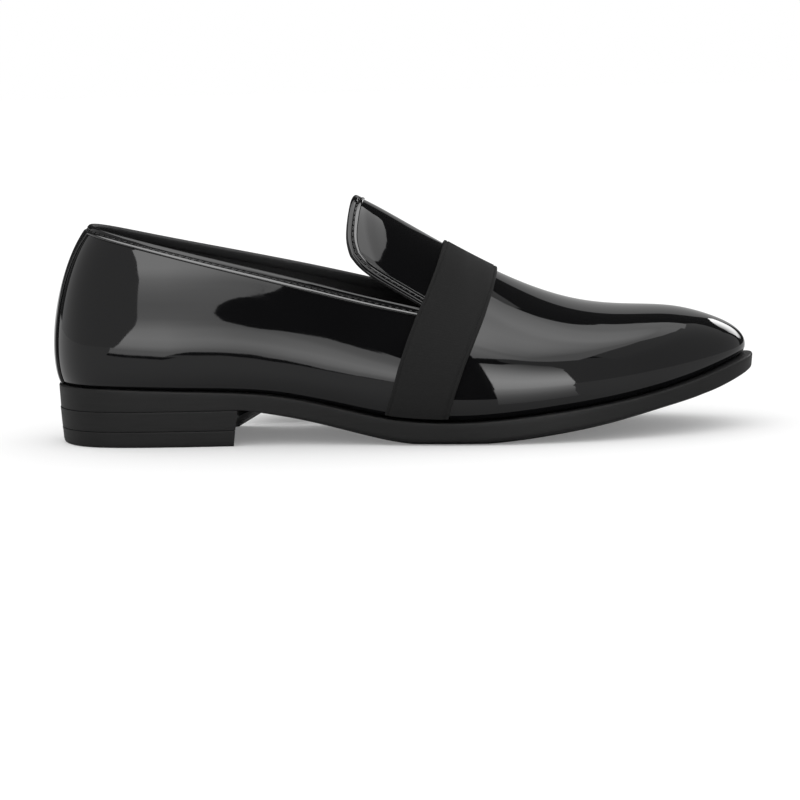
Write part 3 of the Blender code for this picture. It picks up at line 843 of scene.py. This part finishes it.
@functools.cache
def grosgrain_ribbon():
    """Woven ribbon with ribs across it: a dull, soft black that greys a little towards grazing light."""
    colours = bpy.context.scene.loafer_colours
    rib_pitch = 0.9
    material, node = new_material("grosgrain_ribbon")
    coordinates = node("TexCoord")
    ribs = node(
        "TexWave",
        {"Vector": coordinates.outputs["UV"], "Scale": WAVE_PERIOD / rib_pitch, "Distortion": 0.15},
        bands_direction="Y",
    )
    yarn = node(
        "TexNoise", {"Vector": coordinates.outputs["Object"], "Scale": per_metre(0.8), "Detail": 3.0}
    )
    weave = node("Bump", {"Height": ribs.outputs["Fac"], "Strength": 0.5, "Distance": 0.05 * MM})
    fibres = node(
        "Bump",
        {
            "Height": yarn.outputs["Fac"],
            "Strength": 0.5,
            "Distance": 0.05 * MM,
            "Normal": weave.outputs["Normal"],
        },
    )
    tone = node(
        "Mix",
        {"Factor": yarn.outputs["Fac"], "A": colours.ribbon, "B": colours.ribbon_light},
        data_type="RGBA",
    )
    shader = node(
        "BsdfPrincipled",
        {
            "Base Color": tone.outputs["Result"],
            "Roughness": 0.85,
            "Specular IOR Level": 0.08,
            "Sheen Weight": 0.02,
            "Sheen Roughness": 0.5,
            "Normal": fibres.outputs["Normal"],
        },
    )
    node("OutputMaterial", {"Surface": shader.outputs["BSDF"]})
    return material


@functools.cache
def sole_rubber():
    """Moulded rubber with buffed edges: a satin charcoal with fine level scratches."""
    colours = bpy.context.scene.loafer_colours
    material, node = new_material("buffed_sole_rubber")
    place = node("TexCoord").outputs["Object"]
    level = node("Mapping", {"Vector": place, "Scale": (0.06, 0.06, 1.0)})
    buffing = node(
        "TexNoise",
        {"Vector": level.outputs["Vector"], "Scale": per_metre(0.9), "Detail": 3.0, "Roughness": 0.6},
    )
    grit = node("TexNoise", {"Vector": place, "Scale": per_metre(0.6), "Detail": 2.0})
    scratches = node("Bump", {"Height": buffing.outputs["Fac"], "Strength": 0.6, "Distance": 0.05 * MM})
    pores = node(
        "Bump",
        {
            "Height": grit.outputs["Fac"],
            "Strength": 0.4,
            "Distance": 0.03 * MM,
            "Normal": scratches.outputs["Normal"],
        },
    )
    tone = node(
        "Mix",
        {"Factor": buffing.outputs["Fac"], "A": colours.rubber, "B": colours.rubber_light},
        data_type="RGBA",
    )
    shine = node("MapRange", {"Value": buffing.outputs["Fac"], "To Min": 0.42, "To Max": 0.58})
    shader = node(
        "BsdfPrincipled",
        {
            "Base Color": tone.outputs["Result"],
            "Roughness": shine.outputs["Result"],
            "Specular IOR Level": 0.15,
            "Normal": pores.outputs["Normal"],
        },
    )
    node("OutputMaterial", {"Surface": shader.outputs["BSDF"]})
    return material


@functools.cache
def lining_leather():
    """Soft drum-dyed lining leather: matte charcoal with a fine pebble of closed pores."""
    colours = bpy.context.scene.loafer_colours
    material, node = new_material("drum_dyed_lining")
    place = node("TexCoord").outputs["Object"]
    pebble = node("TexVoronoi", {"Vector": place, "Scale": per_metre(1.1)})
    dye = node("TexNoise", {"Vector": place, "Scale": per_metre(14.0), "Detail": 4.0})
    grain = node("Bump", {"Height": pebble.outputs["Distance"], "Strength": 0.5, "Distance": 0.08 * MM})
    tone = node(
        "Mix",
        {"Factor": dye.outputs["Fac"], "A": colours.lining, "B": colours.lining_light},
        data_type="RGBA",
    )
    shader = node(
        "BsdfPrincipled",
        {
            "Base Color": tone.outputs["Result"],
            "Roughness": 0.6,
            "Specular IOR Level": 0.35,
            "Normal": grain.outputs["Normal"],
        },
    )
    node("OutputMaterial", {"Surface": shader.outputs["BSDF"]})
    return material


@functools.cache
def waxed_thread():
    """Waxed polyester thread: black with a soft gleam along its twist."""
    colours = bpy.context.scene.loafer_colours
    material, node = new_material("waxed_thread")
    place = node("TexCoord").outputs["Object"]
    twist = node("TexNoise", {"Vector": place, "Scale": per_metre(0.5), "Detail": 1.0})
    tone = node(
        "Mix", {"Factor": twist.outputs["Fac"], "A": colours.thread, "B": colours.ribbon}, data_type="RGBA"
    )
    shader = node("BsdfPrincipled", {"Base Color": tone.outputs["Result"], "Roughness": 0.45, "IOR": 1.5})
    node("OutputMaterial", {"Surface": shader.outputs["BSDF"]})
    return material


@functools.cache
def card_light():
    """The cloth of a softbox or a painted card, as bright as its "glow" attribute says at each corner."""
    material, node = new_material("card_light")
    glow = node("Attribute", attribute_name="glow").outputs["Fac"]
    cloth = node("Emission", {"Color": WHITE, "Strength": glow})
    node("OutputMaterial", {"Surface": cloth.outputs["Emission"]})
    return material


def colour_property(name, description, code):
    return FloatVectorProperty(
        name=name, description=description, subtype="COLOR", size=4, min=0.0, max=1.0, default=linear(code)
    )


class LoaferColours(bpy.types.PropertyGroup):
    """Colours of the shoe's materials."""

    patent: colour_property("Patent", "Patent leather", "0a0a0b")
    patent_deep: colour_property("Patent, deep", "Patent leather where the hide is darkest", "060607")
    ribbon: colour_property("Ribbon", "Band across the vamp", "181818")
    ribbon_light: colour_property("Ribbon, light", "Raised yarns of the band", "1e1e1e")
    rubber: colour_property("Rubber", "Sole and heel", "171717")
    rubber_light: colour_property("Rubber, light", "Buffed streaks of the sole's edge", "1f1f1f")
    lining: colour_property("Lining", "Lining and insole", "161617")
    lining_light: colour_property("Lining, light", "Rubbed places of the lining", "1d1d1e")
    thread: colour_property("Thread", "Stitches of the bindings", "0c0c0c")


def length_property(name, description, size, low, high):
    return FloatProperty(
        name=name, description=description, default=size, min=low, max=high, subtype="DISTANCE", unit="LENGTH"
    )


class LoaferSizes(bpy.types.PropertyGroup):
    """Sizes of the trim, in metres."""

    stitch_pitch: length_property("Stitch pitch", "From one stitch to the next", 0.0029, 0.001, 0.01)
    stitch_length: length_property("Stitch length", "Thread that shows in one stitch", 0.0021, 0.0005, 0.008)
    thread_width: length_property("Thread width", "Thickness of the thread", 0.0006, 0.0002, 0.002)
    ribbon_thickness: length_property(
        "Ribbon thickness", "How far the band stands off the vamp", 0.0018, 0.0005, 0.004
    )


def light_property(name, description, strength):
    return FloatProperty(name=name, description=description, default=strength, min=0.0)


class LoaferStage(bpy.types.PropertyGroup):
    """Strengths of the studio's lights, as radiance where the photograph's white is 1."""

    overhead: light_property("Overhead", "Softbox above the shoe", 4.4)
    quarter: light_property("Quarter light", "Lamps that light the outer quarter", 4.7)
    toe: light_property("Toe light", "Softbox that lights the side of the vamp", 6.4)
    rim: light_property("Rim light", "Small softbox behind the toe", 5.0)
    walls: light_property("Walls", "Grey of the studio's walls", 0.62)
    dark: light_property("Dark", "What the shoe reflects where nothing stands", 0.05)
    fill: light_property("Fill", "Even light on matte surfaces", 1.25)
    # Strength of the floor's glow that only the camera sees: painted light in its shadows
    shadow: light_property("Shadow", "Light left on the floor in the deepest shadow", 0.18)


class LOAFER_OT_upper(bpy.types.Operator):
    """Models the patent upper with its lining"""

    bl_idname = "loafer.upper"
    bl_label = "Upper"

    def execute(self, context):
        grids = [shaped_grid("upper_patent", grid) for grid in upper_grids()]
        upper = sewn("upper_patent", grids, closed=False, merge=0.02)
        dressed(upper, (patent_leather(), lining_leather()), ("upper",))
        applied(
            upper,
            "SOLIDIFY",
            thickness=WALL * MM,
            offset=-1.0,
            use_even_offset=True,
            use_quality_normals=True,
            material_offset=1,
        )
        return {"FINISHED"}


BINDING_DEPTH = 4.2
BINDING_GROOVE = 1.85  # from the edge to the stitched groove
BINDING_TUCK = 2.0  # how far a binding runs on under the band
STITCH_LEAN = 14.0  # degrees across the row
TRIM_SMOOTH = 50.0  # degrees up to which the edges of a strip are shaded smooth


def binding_profile(rise):
    """Section of a binding, as its piping, its face and its back, raised over the wall by a share. The
    piping lies along the seam and leans up to the light. The face has the stitched groove and the edge
    that is rolled over the wall, and the back goes down the wall's inside."""
    inside = -WALL - 0.3
    roll = (0.55, -0.85, 1.4)
    piping = [*arc(3.35, 0.36, 0.5, -50, 102, 9), *arc(3.641, -1.009, 1.9, 102, 140, 8)[1:]]
    shoulder = arc(1.15, 0.3, 0.25, -30, 90, 4)
    face = [piping[-1], (2.12, 0.0), (1.6, 0.0), *shoulder, *arc(*roll, 90, 160, 12)]
    back = [
        face[-1],
        *arc(*roll, 160, 240, 8)[1:],
        (0.9, inside + 0.1),
        (2.0, inside),
        (3.3, inside),
        *arc(3.3, inside + 0.2, 0.2, 270, 360, 3),
        (3.5, -1.5),
        piping[0],
    ]
    return [
        [(depth, lift * rise if lift > 0 else lift) for depth, lift in part]
        for part in (piping, face, back)
    ]


def stitches(name, line, normals):
    """A row of stitches along a line, each a short bead of thread that leans a little across the row."""
    sizes = bpy.context.scene.loafer_sizes
    deselect()
    bpy.ops.mesh.primitive_uv_sphere_add(segments=8, ring_count=6, radius=0.5)
    model = bpy.context.object
    bpy.ops.transform.resize(value=(sizes.stitch_length, sizes.thread_width, sizes.thread_width))
    bpy.ops.object.transform_apply(location=False, rotation=False, scale=True)
    places = evenly(line, sizes.stitch_pitch / MM)[1:-1]
    points = (picked(line, places) - CENTRE) * MM
    along = picked(np.gradient(line, axis=0), places)
    across = picked(normals, places)
    lean = Matrix.Rotation(np.radians(STITCH_LEAN), 3, "Z")
    copies = []
    for point, run, up in zip(points, along, across):
        x_axis = Vector(run).normalized()
        z_axis = Vector(up - np.dot(up, x_axis) * np.array(x_axis)).normalized()
        turn = Matrix((x_axis, z_axis.cross(x_axis), z_axis)).transposed()
        copy = model.copy()
        copy.data = model.data.copy()
        copy.data.transform(Matrix.Translation(point) @ (turn @ lean).to_4x4())
        bpy.context.scene.collection.objects.link(copy)
        copies.append(copy)
    bpy.data.objects.remove(model)
    row = joined(name, copies)
    return dressed(row, (waxed_thread(),), ())


class LOAFER_OT_bindings(bpy.types.Operator):
    """Models the bound and stitched edges of the collar and the tongue"""

    bl_idname = "loafer.bindings"
    bl_label = "Bindings"

    def execute(self, context):
        edges = (
            ("collar", collar_grid(BINDING_DEPTH, BINDING_TUCK), 1.0),
            ("tongue", tongue_grid(BINDING_DEPTH, BINDING_TUCK), 0.8),
        )
        for name, grid, rise in edges:
            strips = []
            materials = (piping_leather(), patent_leather(), lining_leather())
            for profile, material in zip(binding_profile(rise), materials):
                strip = shaped_grid(f"{name}_binding_rolled", laid(grid, profile))
                strip.data.materials.append(material)
                strips.append(strip)
            binding = sewn(f"{name}_binding_rolled", strips, closed=True)
            dressed(binding, (), (f"{name}_binding",), TRIM_SMOOTH)
            rows = laid(grid, [(BINDING_GROOVE, 0.1), (BINDING_GROOVE, 1.1)])
            stitches(f"{name}_stitching", rows[:, 0], rows[:, 1] - rows[:, 0])
        return {"FINISHED"}


class LOAFER_OT_band(bpy.types.Operator):
    """Models the ribbon band across the vamp"""

    bl_idname = "loafer.band"
    bl_label = "Ribbon band"

    def execute(self, context):
        thickness = context.scene.loafer_sizes.ribbon_thickness / MM
        grid = band_grid()
        column = np.linalg.norm(np.diff(grid[len(grid) // 2], axis=0), axis=1).mean()
        width = column * (grid.shape[1] - 1)
        edge, fold, crown_points = 0.5, 1.5, 21
        rise = [
            (0.0, 0.1),
            *arc(edge, thickness - 0.15 - edge, edge, 180, 90, 5),
            (fold - 0.35, thickness - 0.12),
            (fold - 0.15, thickness - 0.3),
            (fold + 0.1, thickness - 0.3),
            (fold + 0.4, thickness),
        ]
        sections = laid(grid, crowned(rise, width, thickness, 0.12, crown_points), column)
        crest = sections[:, len(rise) + crown_points // 2]
        length = np.linalg.norm(np.diff(crest, axis=0), axis=1).sum()
        band = swept("vamp_band_grosgrain", sections, (2 * width, length))
        dressed(band, (grosgrain_ribbon(),), ("vamp_band",), TRIM_SMOOTH)
        return {"FINISHED"}


class LOAFER_OT_back_strip(bpy.types.Operator):
    """Models the strip that covers the back seam"""

    bl_idname = "loafer.back_strip"
    bl_label = "Back strip"

    def execute(self, context):
        grid = back_strip_grid(BACK_STRIP_TOP)
        width, lift, edge = 2 * BACK_STRIP_HALF_WIDTH, 0.9, 0.5
        column = width / (grid.shape[1] - 1)
        rise = [(0.0, -0.2), *arc(edge, lift - edge, edge, 180, 90, 5)]
        strip = swept("back_strip_patent", laid(grid, crowned(rise, width, lift, 0.08, 25), column))
        dressed(strip, (patent_leather(),), ("back_strip",), TRIM_SMOOTH)
        return {"FINISHED"}


def side_round(steps):
    """Shares of a quarter round: how far in and how far down from a corner, from its top to its side."""
    angles = np.linspace(0, np.pi / 2, steps + 1)
    return [(1 - np.sin(a), 1 - np.cos(a)) for a in angles]


SOLE_STATIONS = 170
SOLE_EDGE_ROUND = 0.9
SOLE_FOOT_ROUND = 1.6
SOLE_ROUND_RUN = 25.0
SEAT_ROUND = 0.2  # of the sole's foot over the heel, where the two are buffed flush
SOLE_SIDE_TAPER = 0.4
HEEL_INSET = 0.2
HEEL_FOOT_ROUND = 1.2
LAYER_ROUND = 0.25
LAYER_GAP = 0.16  # the scored line that shows between two layers


def sole_foot_round(x):
    """Radius of the sole's lower edge: sharp over the heel, rounded ahead of its breast."""
    ahead = np.clip((x - HEEL_BREAST_X) / SOLE_ROUND_RUN, 0, 1)
    return SEAT_ROUND + (SOLE_FOOT_ROUND - SEAT_ROUND) * ahead


class LOAFER_OT_sole(bpy.types.Operator):
    """Models the outsole and the layers of the heel"""

    bl_idname = "loafer.sole"
    bl_label = "Sole and heel"

    def execute(self, context):
        def ring(inset, height):
            return sole_ring(SOLE_STATIONS, inset, height)

        def side_foot(x):
            return sole_foot(x) + sole_foot_round(x)

        edge = SOLE_EDGE_ROUND
        rings = [ring(lambda x: np.full_like(x, SOLE_FLAT_INSET), FEATHER)]
        for share, down in side_round(5):
            rings.append(
                ring(
                    lambda x, s=share: np.full_like(x, edge * s),
                    lambda x, d=down: FEATHER(x) - edge * d,
                )
            )
        for share in (0.25, 0.5, 0.75):
            rings.append(
                ring(
                    lambda x, s=share: np.full_like(x, SOLE_SIDE_TAPER * s),
                    lambda x, s=share: (FEATHER(x) - edge) * (1 - s) + side_foot(x) * s,
                )
            )
        for share, up in side_round(5)[::-1]:
            rings.append(
                ring(
                    lambda x, s=share: SOLE_SIDE_TAPER + sole_foot_round(x) * s,
                    lambda x, u=up: sole_foot(x) + sole_foot_round(x) * u,
                )
            )
        rings.append(ring(lambda x: np.full_like(x, SOLE_FLAT_INSET), underside))
        sole = ring_solid("outsole_rubber", rings, 16)
        dressed(sole, (sole_rubber(),), ("outsole",))

        layers = (
            ("heel_lift", HEEL_SEAT_Z - LAYER_GAP, HEEL_JOINT_Z + LAYER_GAP / 2, HEEL_INSET, LAYER_ROUND),
            ("heel_top_piece", HEEL_JOINT_Z - LAYER_GAP / 2, 0.0, HEEL_INSET + HEEL_TAPER, HEEL_FOOT_ROUND),
        )
        for node, top, foot, inset, foot_round in layers:
            low = inset + HEEL_TAPER
            rings = [heel_ring(inset + LAYER_ROUND * i, top - LAYER_ROUND * d) for i, d in side_round(3)]
            heights = np.linspace(top - LAYER_ROUND, foot + foot_round, 10)[1:-1]
            rings += [heel_ring(np.interp(z, (foot, top), (low, inset)), z) for z in heights]
            rings += [heel_ring(low + foot_round * i, foot + foot_round * u) for i, u in side_round(4)[::-1]]
            layer = ring_solid(f"{node}_rubber", rings, 0)
            dressed(layer, (sole_rubber(),), (node,))
        return {"FINISHED"}


class LOAFER_OT_insole(bpy.types.Operator):
    """Models the leather insole inside the shoe"""

    bl_idname = "loafer.insole"
    bl_label = "Insole"

    def execute(self, context):
        thickness, clearance, stations, corner = 3.0, 0.5, 130, 0.8
        dish, dish_inset, rim_inset = 0.4, 12.0, 4.0

        def ring(inset, lift):
            def line(side, x):
                edge = shifted(side, x, -TUCK(x) - WALL - clearance - inset)
                edge[:, 2] = FEATHER(x) + SEAT_GAP + lift
                return edge

            return plan_ring(stations, line)

        rings = [ring(dish_inset, thickness - dish), ring(rim_inset, thickness)]
        rings += [ring(corner * i, thickness - corner * d) for i, d in side_round(4)]
        rings += [ring(0.0, 0.0)]
        insole = ring_solid("insole_leather", rings, 12)
        dressed(insole, (lining_leather(),), ("insole",))
        return {"FINISHED"}


# The camera looks along the shoe's side, from a little above and turned by the photograph's slight tilt
CAMERA_AIM = (149.2, 0.0, 14.0)
CAMERA_DISTANCE = 1500.0
CAMERA_ELEVATION = 7.5
CAMERA_ROLL = 1.4
CAMERA_LENS = 155.7
CAMERA_SENSOR = 36.0


def add_camera():
    """Adds the camera of the photograph's view."""
    el, roll = np.radians(CAMERA_ELEVATION), np.radians(CAMERA_ROLL)
    look = Vector((0.0, np.cos(el), -np.sin(el)))
    right = Vector((1.0, 0.0, 0.0))
    up = right.cross(look)
    tilted = right * np.cos(roll) - up * np.sin(roll)
    place = Vector((np.array(CAMERA_AIM) - CENTRE) * MM) - look * CAMERA_DISTANCE * MM
    turned = Matrix((tilted, (-look).cross(tilted), -look)).transposed().to_4x4()
    bpy.ops.object.camera_add()
    camera = bpy.context.object
    camera.name = "camera"
    camera.matrix_world = Matrix.Translation(place) @ turned
    camera.data.sensor_width = CAMERA_SENSOR
    camera.data.lens = CAMERA_LENS
    bpy.context.scene.camera = camera


FLOOR_SIZE = 7.0  # in metres

# Cards and lamps stand round the shoe in the last's frame, in millimetres. Each lies across one axis (0 to 2
# for x to z) at a place. Its rows run from one end to the other: at, along the axis it stands on; its left
# edge, the knee where its light starts to fall off, and its right edge; its share of the light's strength
# up to the knee, and at its right end. One that shades darkens the floor and is not seen in the gloss.
Card = namedtuple("Card", "name axis place strength rows shades", defaults=(False,))
Row = namedtuple("Row", "at left knee right share end")


def flat(at, left, right, share=1.0):
    """Row that is as bright at its right end as at its left."""
    return Row(at, left, (left + right) / 2, right, share, share)


def even(low, high, left, right, share=1.0):
    """Rows of a plain rectangle."""
    return (flat(low, left, right, share), flat(high, left, right, share))


QUARTER_LIGHT = (
    Row(19, -350, -100, -10, 0.5, 0.4),
    Row(45, -295, -100, 40, 0.8, 0.45),
    Row(85, -255, -100, 60, 0.92, 0.62),
    Row(130, -215, -100, 60, 0.83, 0.45),
    Row(160, -196, -100, 58, 0.67, 0.4),
    Row(175, -193, -100, 20, 0.6, 0.4),
    Row(200, -188, -100, -4, 0.48, 0.42),
    Row(240, -188, -100, -14, 0.45, 0.43),
    Row(285, -188, -100, -6, 0.44, 0.44),
    Row(325, -188, -100, 13, 0.48, 0.46),
    Row(350, -188, -100, 30, 0.5, 0.46),
    Row(365, -188, -100, 46, 0.52, 0.46),
    Row(412, -189, -100, 64, 0.6, 0.46),
    Row(470, -190, -100, 76, 0.72, 0.46),
    Row(520, -200, -100, 104, 0.88, 0.55),
    Row(580, -212, -100, 144, 1.0, 0.6),
    Row(670, -230, -100, 176, 1.0, 0.65),
    Row(760, -257, -100, 206, 1.0, 0.7),
    Row(840, -288, -100, 234, 1.0, 0.75),
    Row(900, -310, -100, 255, 1.0, 0.8),
)
TOE_LIGHT = (
    flat(0, 179, 450, 0.8),
    flat(60, 175, 448, 0.93),
    flat(130, 172, 436, 1.0),
    flat(220, 171, 428, 0.84),
    flat(310, 175, 424, 0.58),
    flat(385, 181, 420, 0.38),
    flat(430, 240, 425, 0.3),
    flat(520, 312, 390, 0.15),
)
# These sheets lie on the floor and only the shoe's gloss sees them: painted reflections of a lit floor, where
# the camera sees plain paper
TOE_FLOOR_GLOW = (
    flat(-560, 180, 445, 0.8),
    flat(-400, 182, 380, 0.69),
    flat(-260, 184, 315, 0.63),
    flat(-160, 188, 276, 0.46),
    flat(-105, 190, 252, 0.25),
    flat(-75, 191, 242, 0.14),
)
HEEL_FLOOR_GLOW = (
    flat(-3000, -1700, -350, 0.46),
    flat(-1200, -650, -140, 0.46),
    flat(-740, -400, -100, 0.46),
    flat(-590, -320, -80, 0.4),
)
# A dark sheet on the floor that only the gloss sees: painted shade in the floor's reflection
DARK_FLOOR = (
    flat(-3000, -350, 178),
    flat(-1200, -140, 178),
    flat(-740, -100, 178),
    flat(-738, 62, 178),
    flat(-350, 88, 180),
    flat(-160, 132, 187),
    flat(-100, 150, 190),
)
OVERHEAD = (
    Row(-1450, -345, 60, 130, 0.55, 0.5),
    Row(-950, -345, 180, 420, 0.8, 0.5),
    Row(-750, -360, 290, 465, 0.97, 0.42),
    Row(-550, -445, 360, 535, 0.97, 0.38),
    Row(-350, -445, 390, 585, 1.0, 0.43),
    Row(-100, -445, 450, 610, 0.83, 0.47),
    Row(50, -445, 520, 630, 0.76, 0.46),
    Row(250, -445, 430, 620, 0.68, 0.48),
    Row(405, -445, 440, 615, 0.47, 0.36),
    Row(470, -445, 440, 556, 0.42, 0.34),
    Row(560, -445, 440, 516, 0.37, 0.33),
    Row(640, -445, 440, 490, 0.33, 0.31),
    Row(690, -445, 440, 482, 0.28, 0.27),
)
OVERHEAD_SKIRT = (
    flat(-1000, -345, 400, 0.45),
    flat(-850, -345, 545, 0.42),
    flat(-700, -360, 665, 0.4),
    flat(-550, -445, 675, 0.38),
    flat(-50, -445, 657, 0.4),
    flat(60, -445, 735, 0.42),
    flat(250, -445, 800, 0.45),
    flat(400, -445, 803, 0.43),
    flat(410, -445, 620, 0.38),
)
TOE_CREST = (flat(82, 309, 412, 0.4), flat(110, 308, 407, 0.37), flat(146, 310, 400, 0.35))
BACKDROP = (flat(0, 200, 790, 0.9), flat(1000, 200, 790, 0.9), flat(1110, 200, 700, 0.9))
TOE_CORNER = (flat(0, 800, 3500, 0.82), flat(1300, 800, 3500, 0.82), *even(1426, 3000, 371, 3500, 0.82))
TOE_WALL = (
    flat(0, -1600, 900, 0.8),
    flat(1350, -1600, 1000, 0.8),
    flat(1600, -1600, 1250, 0.8),
    flat(2150, -1600, 1700, 0.85),
    *even(2500, 4000, -1600, 1900, 0.92),
)
BAND_FLAG = (
    flat(0, 141, 180),
    flat(62, 141, 180),
    flat(70, 124, 180),
    flat(78, 108, 180),
    flat(95, 88, 180),
    flat(118, 87, 180),
    flat(126, 92, 180),
    flat(140, 97, 180),
    flat(170, 115, 180),
    flat(260, 131, 180),
)
TONGUE_GLOW = (
    flat(146.5, -12, 3, 0.5),
    flat(150, -24, 22, 0.55),
    flat(155, -33, 28, 0.55),
    flat(162, -46, 31, 0.52),
    flat(170, -57, 38, 0.55),
    flat(178, -64, 46, 0.75),
    flat(230, -80, 60, 0.8),
)
RIM = (
    flat(300, 1150, 1400, 0.2),
    flat(420, 1050, 1450, 0.55),
    flat(510, 650, 1580, 0.9),
    flat(600, 670, 1580, 1.15),
    flat(780, 800, 1560, 1.1),
    flat(880, 900, 1560, 0.9),
    flat(1000, 1050, 1560, 0.6),
    flat(1080, 1200, 1560, 0.2),
)
CARDS = (
    Card("overhead_softbox", 2, 1100, "overhead", OVERHEAD),
    Card("overhead_skirt", 2, 1106, "overhead", OVERHEAD_SKIRT),
    Card("toe_crest", 2, 300, "overhead", TOE_CREST),
    Card("quarter_light", 1, -730, "quarter", QUARTER_LIGHT),
    Card("toe_light", 1, -560, "toe", TOE_LIGHT),
    # The floor sheets below are painted reflections: a lit or dark floor that only the gloss sees
    Card("toe_floor_glow", 2, 1, "toe", TOE_FLOOR_GLOW),
    Card("heel_floor_glow", 2, 1, "quarter", HEEL_FLOOR_GLOW),
    Card("heel_floor_line", 2, 1, "dark", (flat(-585, -315, -50), flat(-450, -260, -50))),
    Card("dark_floor", 2, 1, "dark", DARK_FLOOR),
    Card("band_flag", 1, -143, "dark", BAND_FLAG),
    Card("tongue_glow", 0, 178, "overhead", TONGUE_GLOW),
    Card("tongue_flag", 0, 180, "dark", even(79, 182, -68, 55)),
    Card("arch_shade", 2, 14, "dark", even(40, 72, 84, 205), True),
    Card("rim_softbox", 1, 1100, "rim", RIM),
    Card("heel_corner_wall", 1, -1600, "walls", even(0, 3000, -3500, -400)),
    Card("toe_corner_wall", 1, -1600, "walls", TOE_CORNER),
    Card("heel_wall", 0, -1300, "walls", even(0, 2200, -1600, 1200)),
    Card("toe_wall", 0, 1700, "walls", TOE_WALL),
    Card("backdrop", 1, 1400, "walls", BACKDROP),
)


def add_card(card, strength):
    """A lamp or card that shows only in the shoe's gloss, or one that only shades the floor."""
    rising, across = [axis for axis in (2, 1, 0) if axis != card.axis]
    grid = np.empty((len(card.rows), 3, 3))
    grid[..., card.axis] = card.place
    grid[..., rising] = [[row.at] * 3 for row in card.rows]
    grid[..., across] = [[row.left, row.knee, row.right] for row in card.rows]
    piece = shaped_grid(card.name, grid)
    corners = grid.reshape(-1, 3)
    points = np.array([vertex.co for vertex in piece.data.vertices]) / MM + CENTRE
    nearest = [int(np.argmin(np.linalg.norm(corners - point, axis=1))) for point in points]
    glow = strength * np.array([[row.share, row.share, row.end] for row in card.rows]).ravel()[nearest]
    piece.data.attributes.new("glow", "FLOAT", "POINT").data.foreach_set("value", glow)
    piece.data.materials.append(card_light())
    piece.visible_camera = False
    piece.visible_glossy = not card.shades
    piece.visible_shadow = card.shades
    piece.visible_diffuse = card.shades


def floor_paper(shadow):
    """Matt background paper. It glows a little for the camera alone, painted light that lifts its deepest
    shadow, and the shoe's gloss sees it a shade darker than the camera does, painted shade in its reflection.
    """
    material, node = new_material("floor_paper")
    rays = node("LightPath")
    # Darker paper for glossy rays: painted shade in the floor's reflection
    tone = node(
        "Mix",
        {"Factor": rays.outputs["Is Glossy Ray"], "A": linear("dfdfdf"), "B": linear("cacaca")},
        data_type="RGBA",
    )
    paper = node("BsdfDiffuse", {"Color": tone.outputs["Result"]})
    # An even glow that only the camera sees: painted light that lifts the floor's shadows
    lift = node("Math", {0: rays.outputs["Is Camera Ray"], 1: shadow}, operation="MULTIPLY")
    glow = node("Emission", {"Strength": lift.outputs["Value"]})
    paper_with_painted_glow = node("AddShader", {0: paper.outputs["BSDF"], 1: glow.outputs["Emission"]})
    node("OutputMaterial", {"Surface": paper_with_painted_glow.outputs["Shader"]})
    return material


class LOAFER_OT_stage(bpy.types.Operator):
    """Sets the floor, the studio's cards and lights, the world and the camera"""

    bl_idname = "loafer.stage"
    bl_label = "Stage"

    def execute(self, context):
        scene = context.scene
        stage = scene.loafer_stage
        deselect()
        bpy.ops.mesh.primitive_plane_add(size=FLOOR_SIZE)
        floor = context.object
        floor.name = floor.data.name = "floor"
        floor.data.materials.append(floor_paper(stage.shadow))

        for card in CARDS:
            add_card(card, getattr(stage, card.strength))

        world = bpy.data.worlds.new("studio")
        scene.world = world
        world.use_nodes = True
        world.node_tree.nodes.clear()
        node = functools.partial(add_node, world.node_tree)
        rays = node("LightPath")
        white = node("Background", {"Color": WHITE, "Strength": 1.0})
        fill = node("Background", {"Color": WHITE, "Strength": stage.fill})
        dark = node("Background", {"Color": WHITE, "Strength": stage.dark})
        matte = node(
            "MixShader",
            {
                0: rays.outputs["Is Glossy Ray"],
                1: fill.outputs["Background"],
                2: dark.outputs["Background"],
            },
        )
        seen = node(
            "MixShader",
            {0: rays.outputs["Is Camera Ray"], 1: matte.outputs["Shader"], 2: white.outputs["Background"]},
        )
        node("OutputWorld", {"Surface": seen.outputs["Shader"]})
        scene.view_settings.view_transform = "Standard"
        add_camera()
        return {"FINISHED"}


OPERATORS = (
    LOAFER_OT_upper,
    LOAFER_OT_bindings,
    LOAFER_OT_band,
    LOAFER_OT_back_strip,
    LOAFER_OT_sole,
    LOAFER_OT_insole,
    LOAFER_OT_stage,
)


class LOAFER_PT_panel(bpy.types.Panel):
    """Lists the shoe's pieces in the order they are made"""

    bl_idname = "LOAFER_PT_panel"
    bl_label = "Patent loafer"
    bl_space_type = "VIEW_3D"
    bl_region_type = "UI"
    bl_category = "Loafer"

    def draw(self, context):
        for operator in OPERATORS:
            self.layout.operator(operator.bl_idname)
        for name in GROUPS:
            box = self.layout.box()
            group = getattr(context.scene, name)
            for key in group.bl_rna.properties.keys():
                if key not in ("rna_type", "name"):
                    box.prop(group, key)


GROUPS = {"loafer_colours": LoaferColours, "loafer_sizes": LoaferSizes, "loafer_stage": LoaferStage}
CLASSES = (*GROUPS.values(), *OPERATORS, LOAFER_PT_panel)


def register():
    for cls in CLASSES:
        bpy.utils.register_class(cls)
    for name, group in GROUPS.items():
        setattr(bpy.types.Scene, name, PointerProperty(type=group))


def unregister():
    for name in GROUPS:
        delattr(bpy.types.Scene, name)
    for cls in reversed(CLASSES):
        bpy.utils.unregister_class(cls)


def main():
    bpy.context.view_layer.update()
    register()
    bpy.ops.loafer.upper()
    bpy.ops.loafer.bindings()
    bpy.ops.loafer.band()
    bpy.ops.loafer.back_strip()
    bpy.ops.loafer.sole()
    bpy.ops.loafer.insole()
    bpy.ops.loafer.stage()


if __name__ == "__main__":
    main()
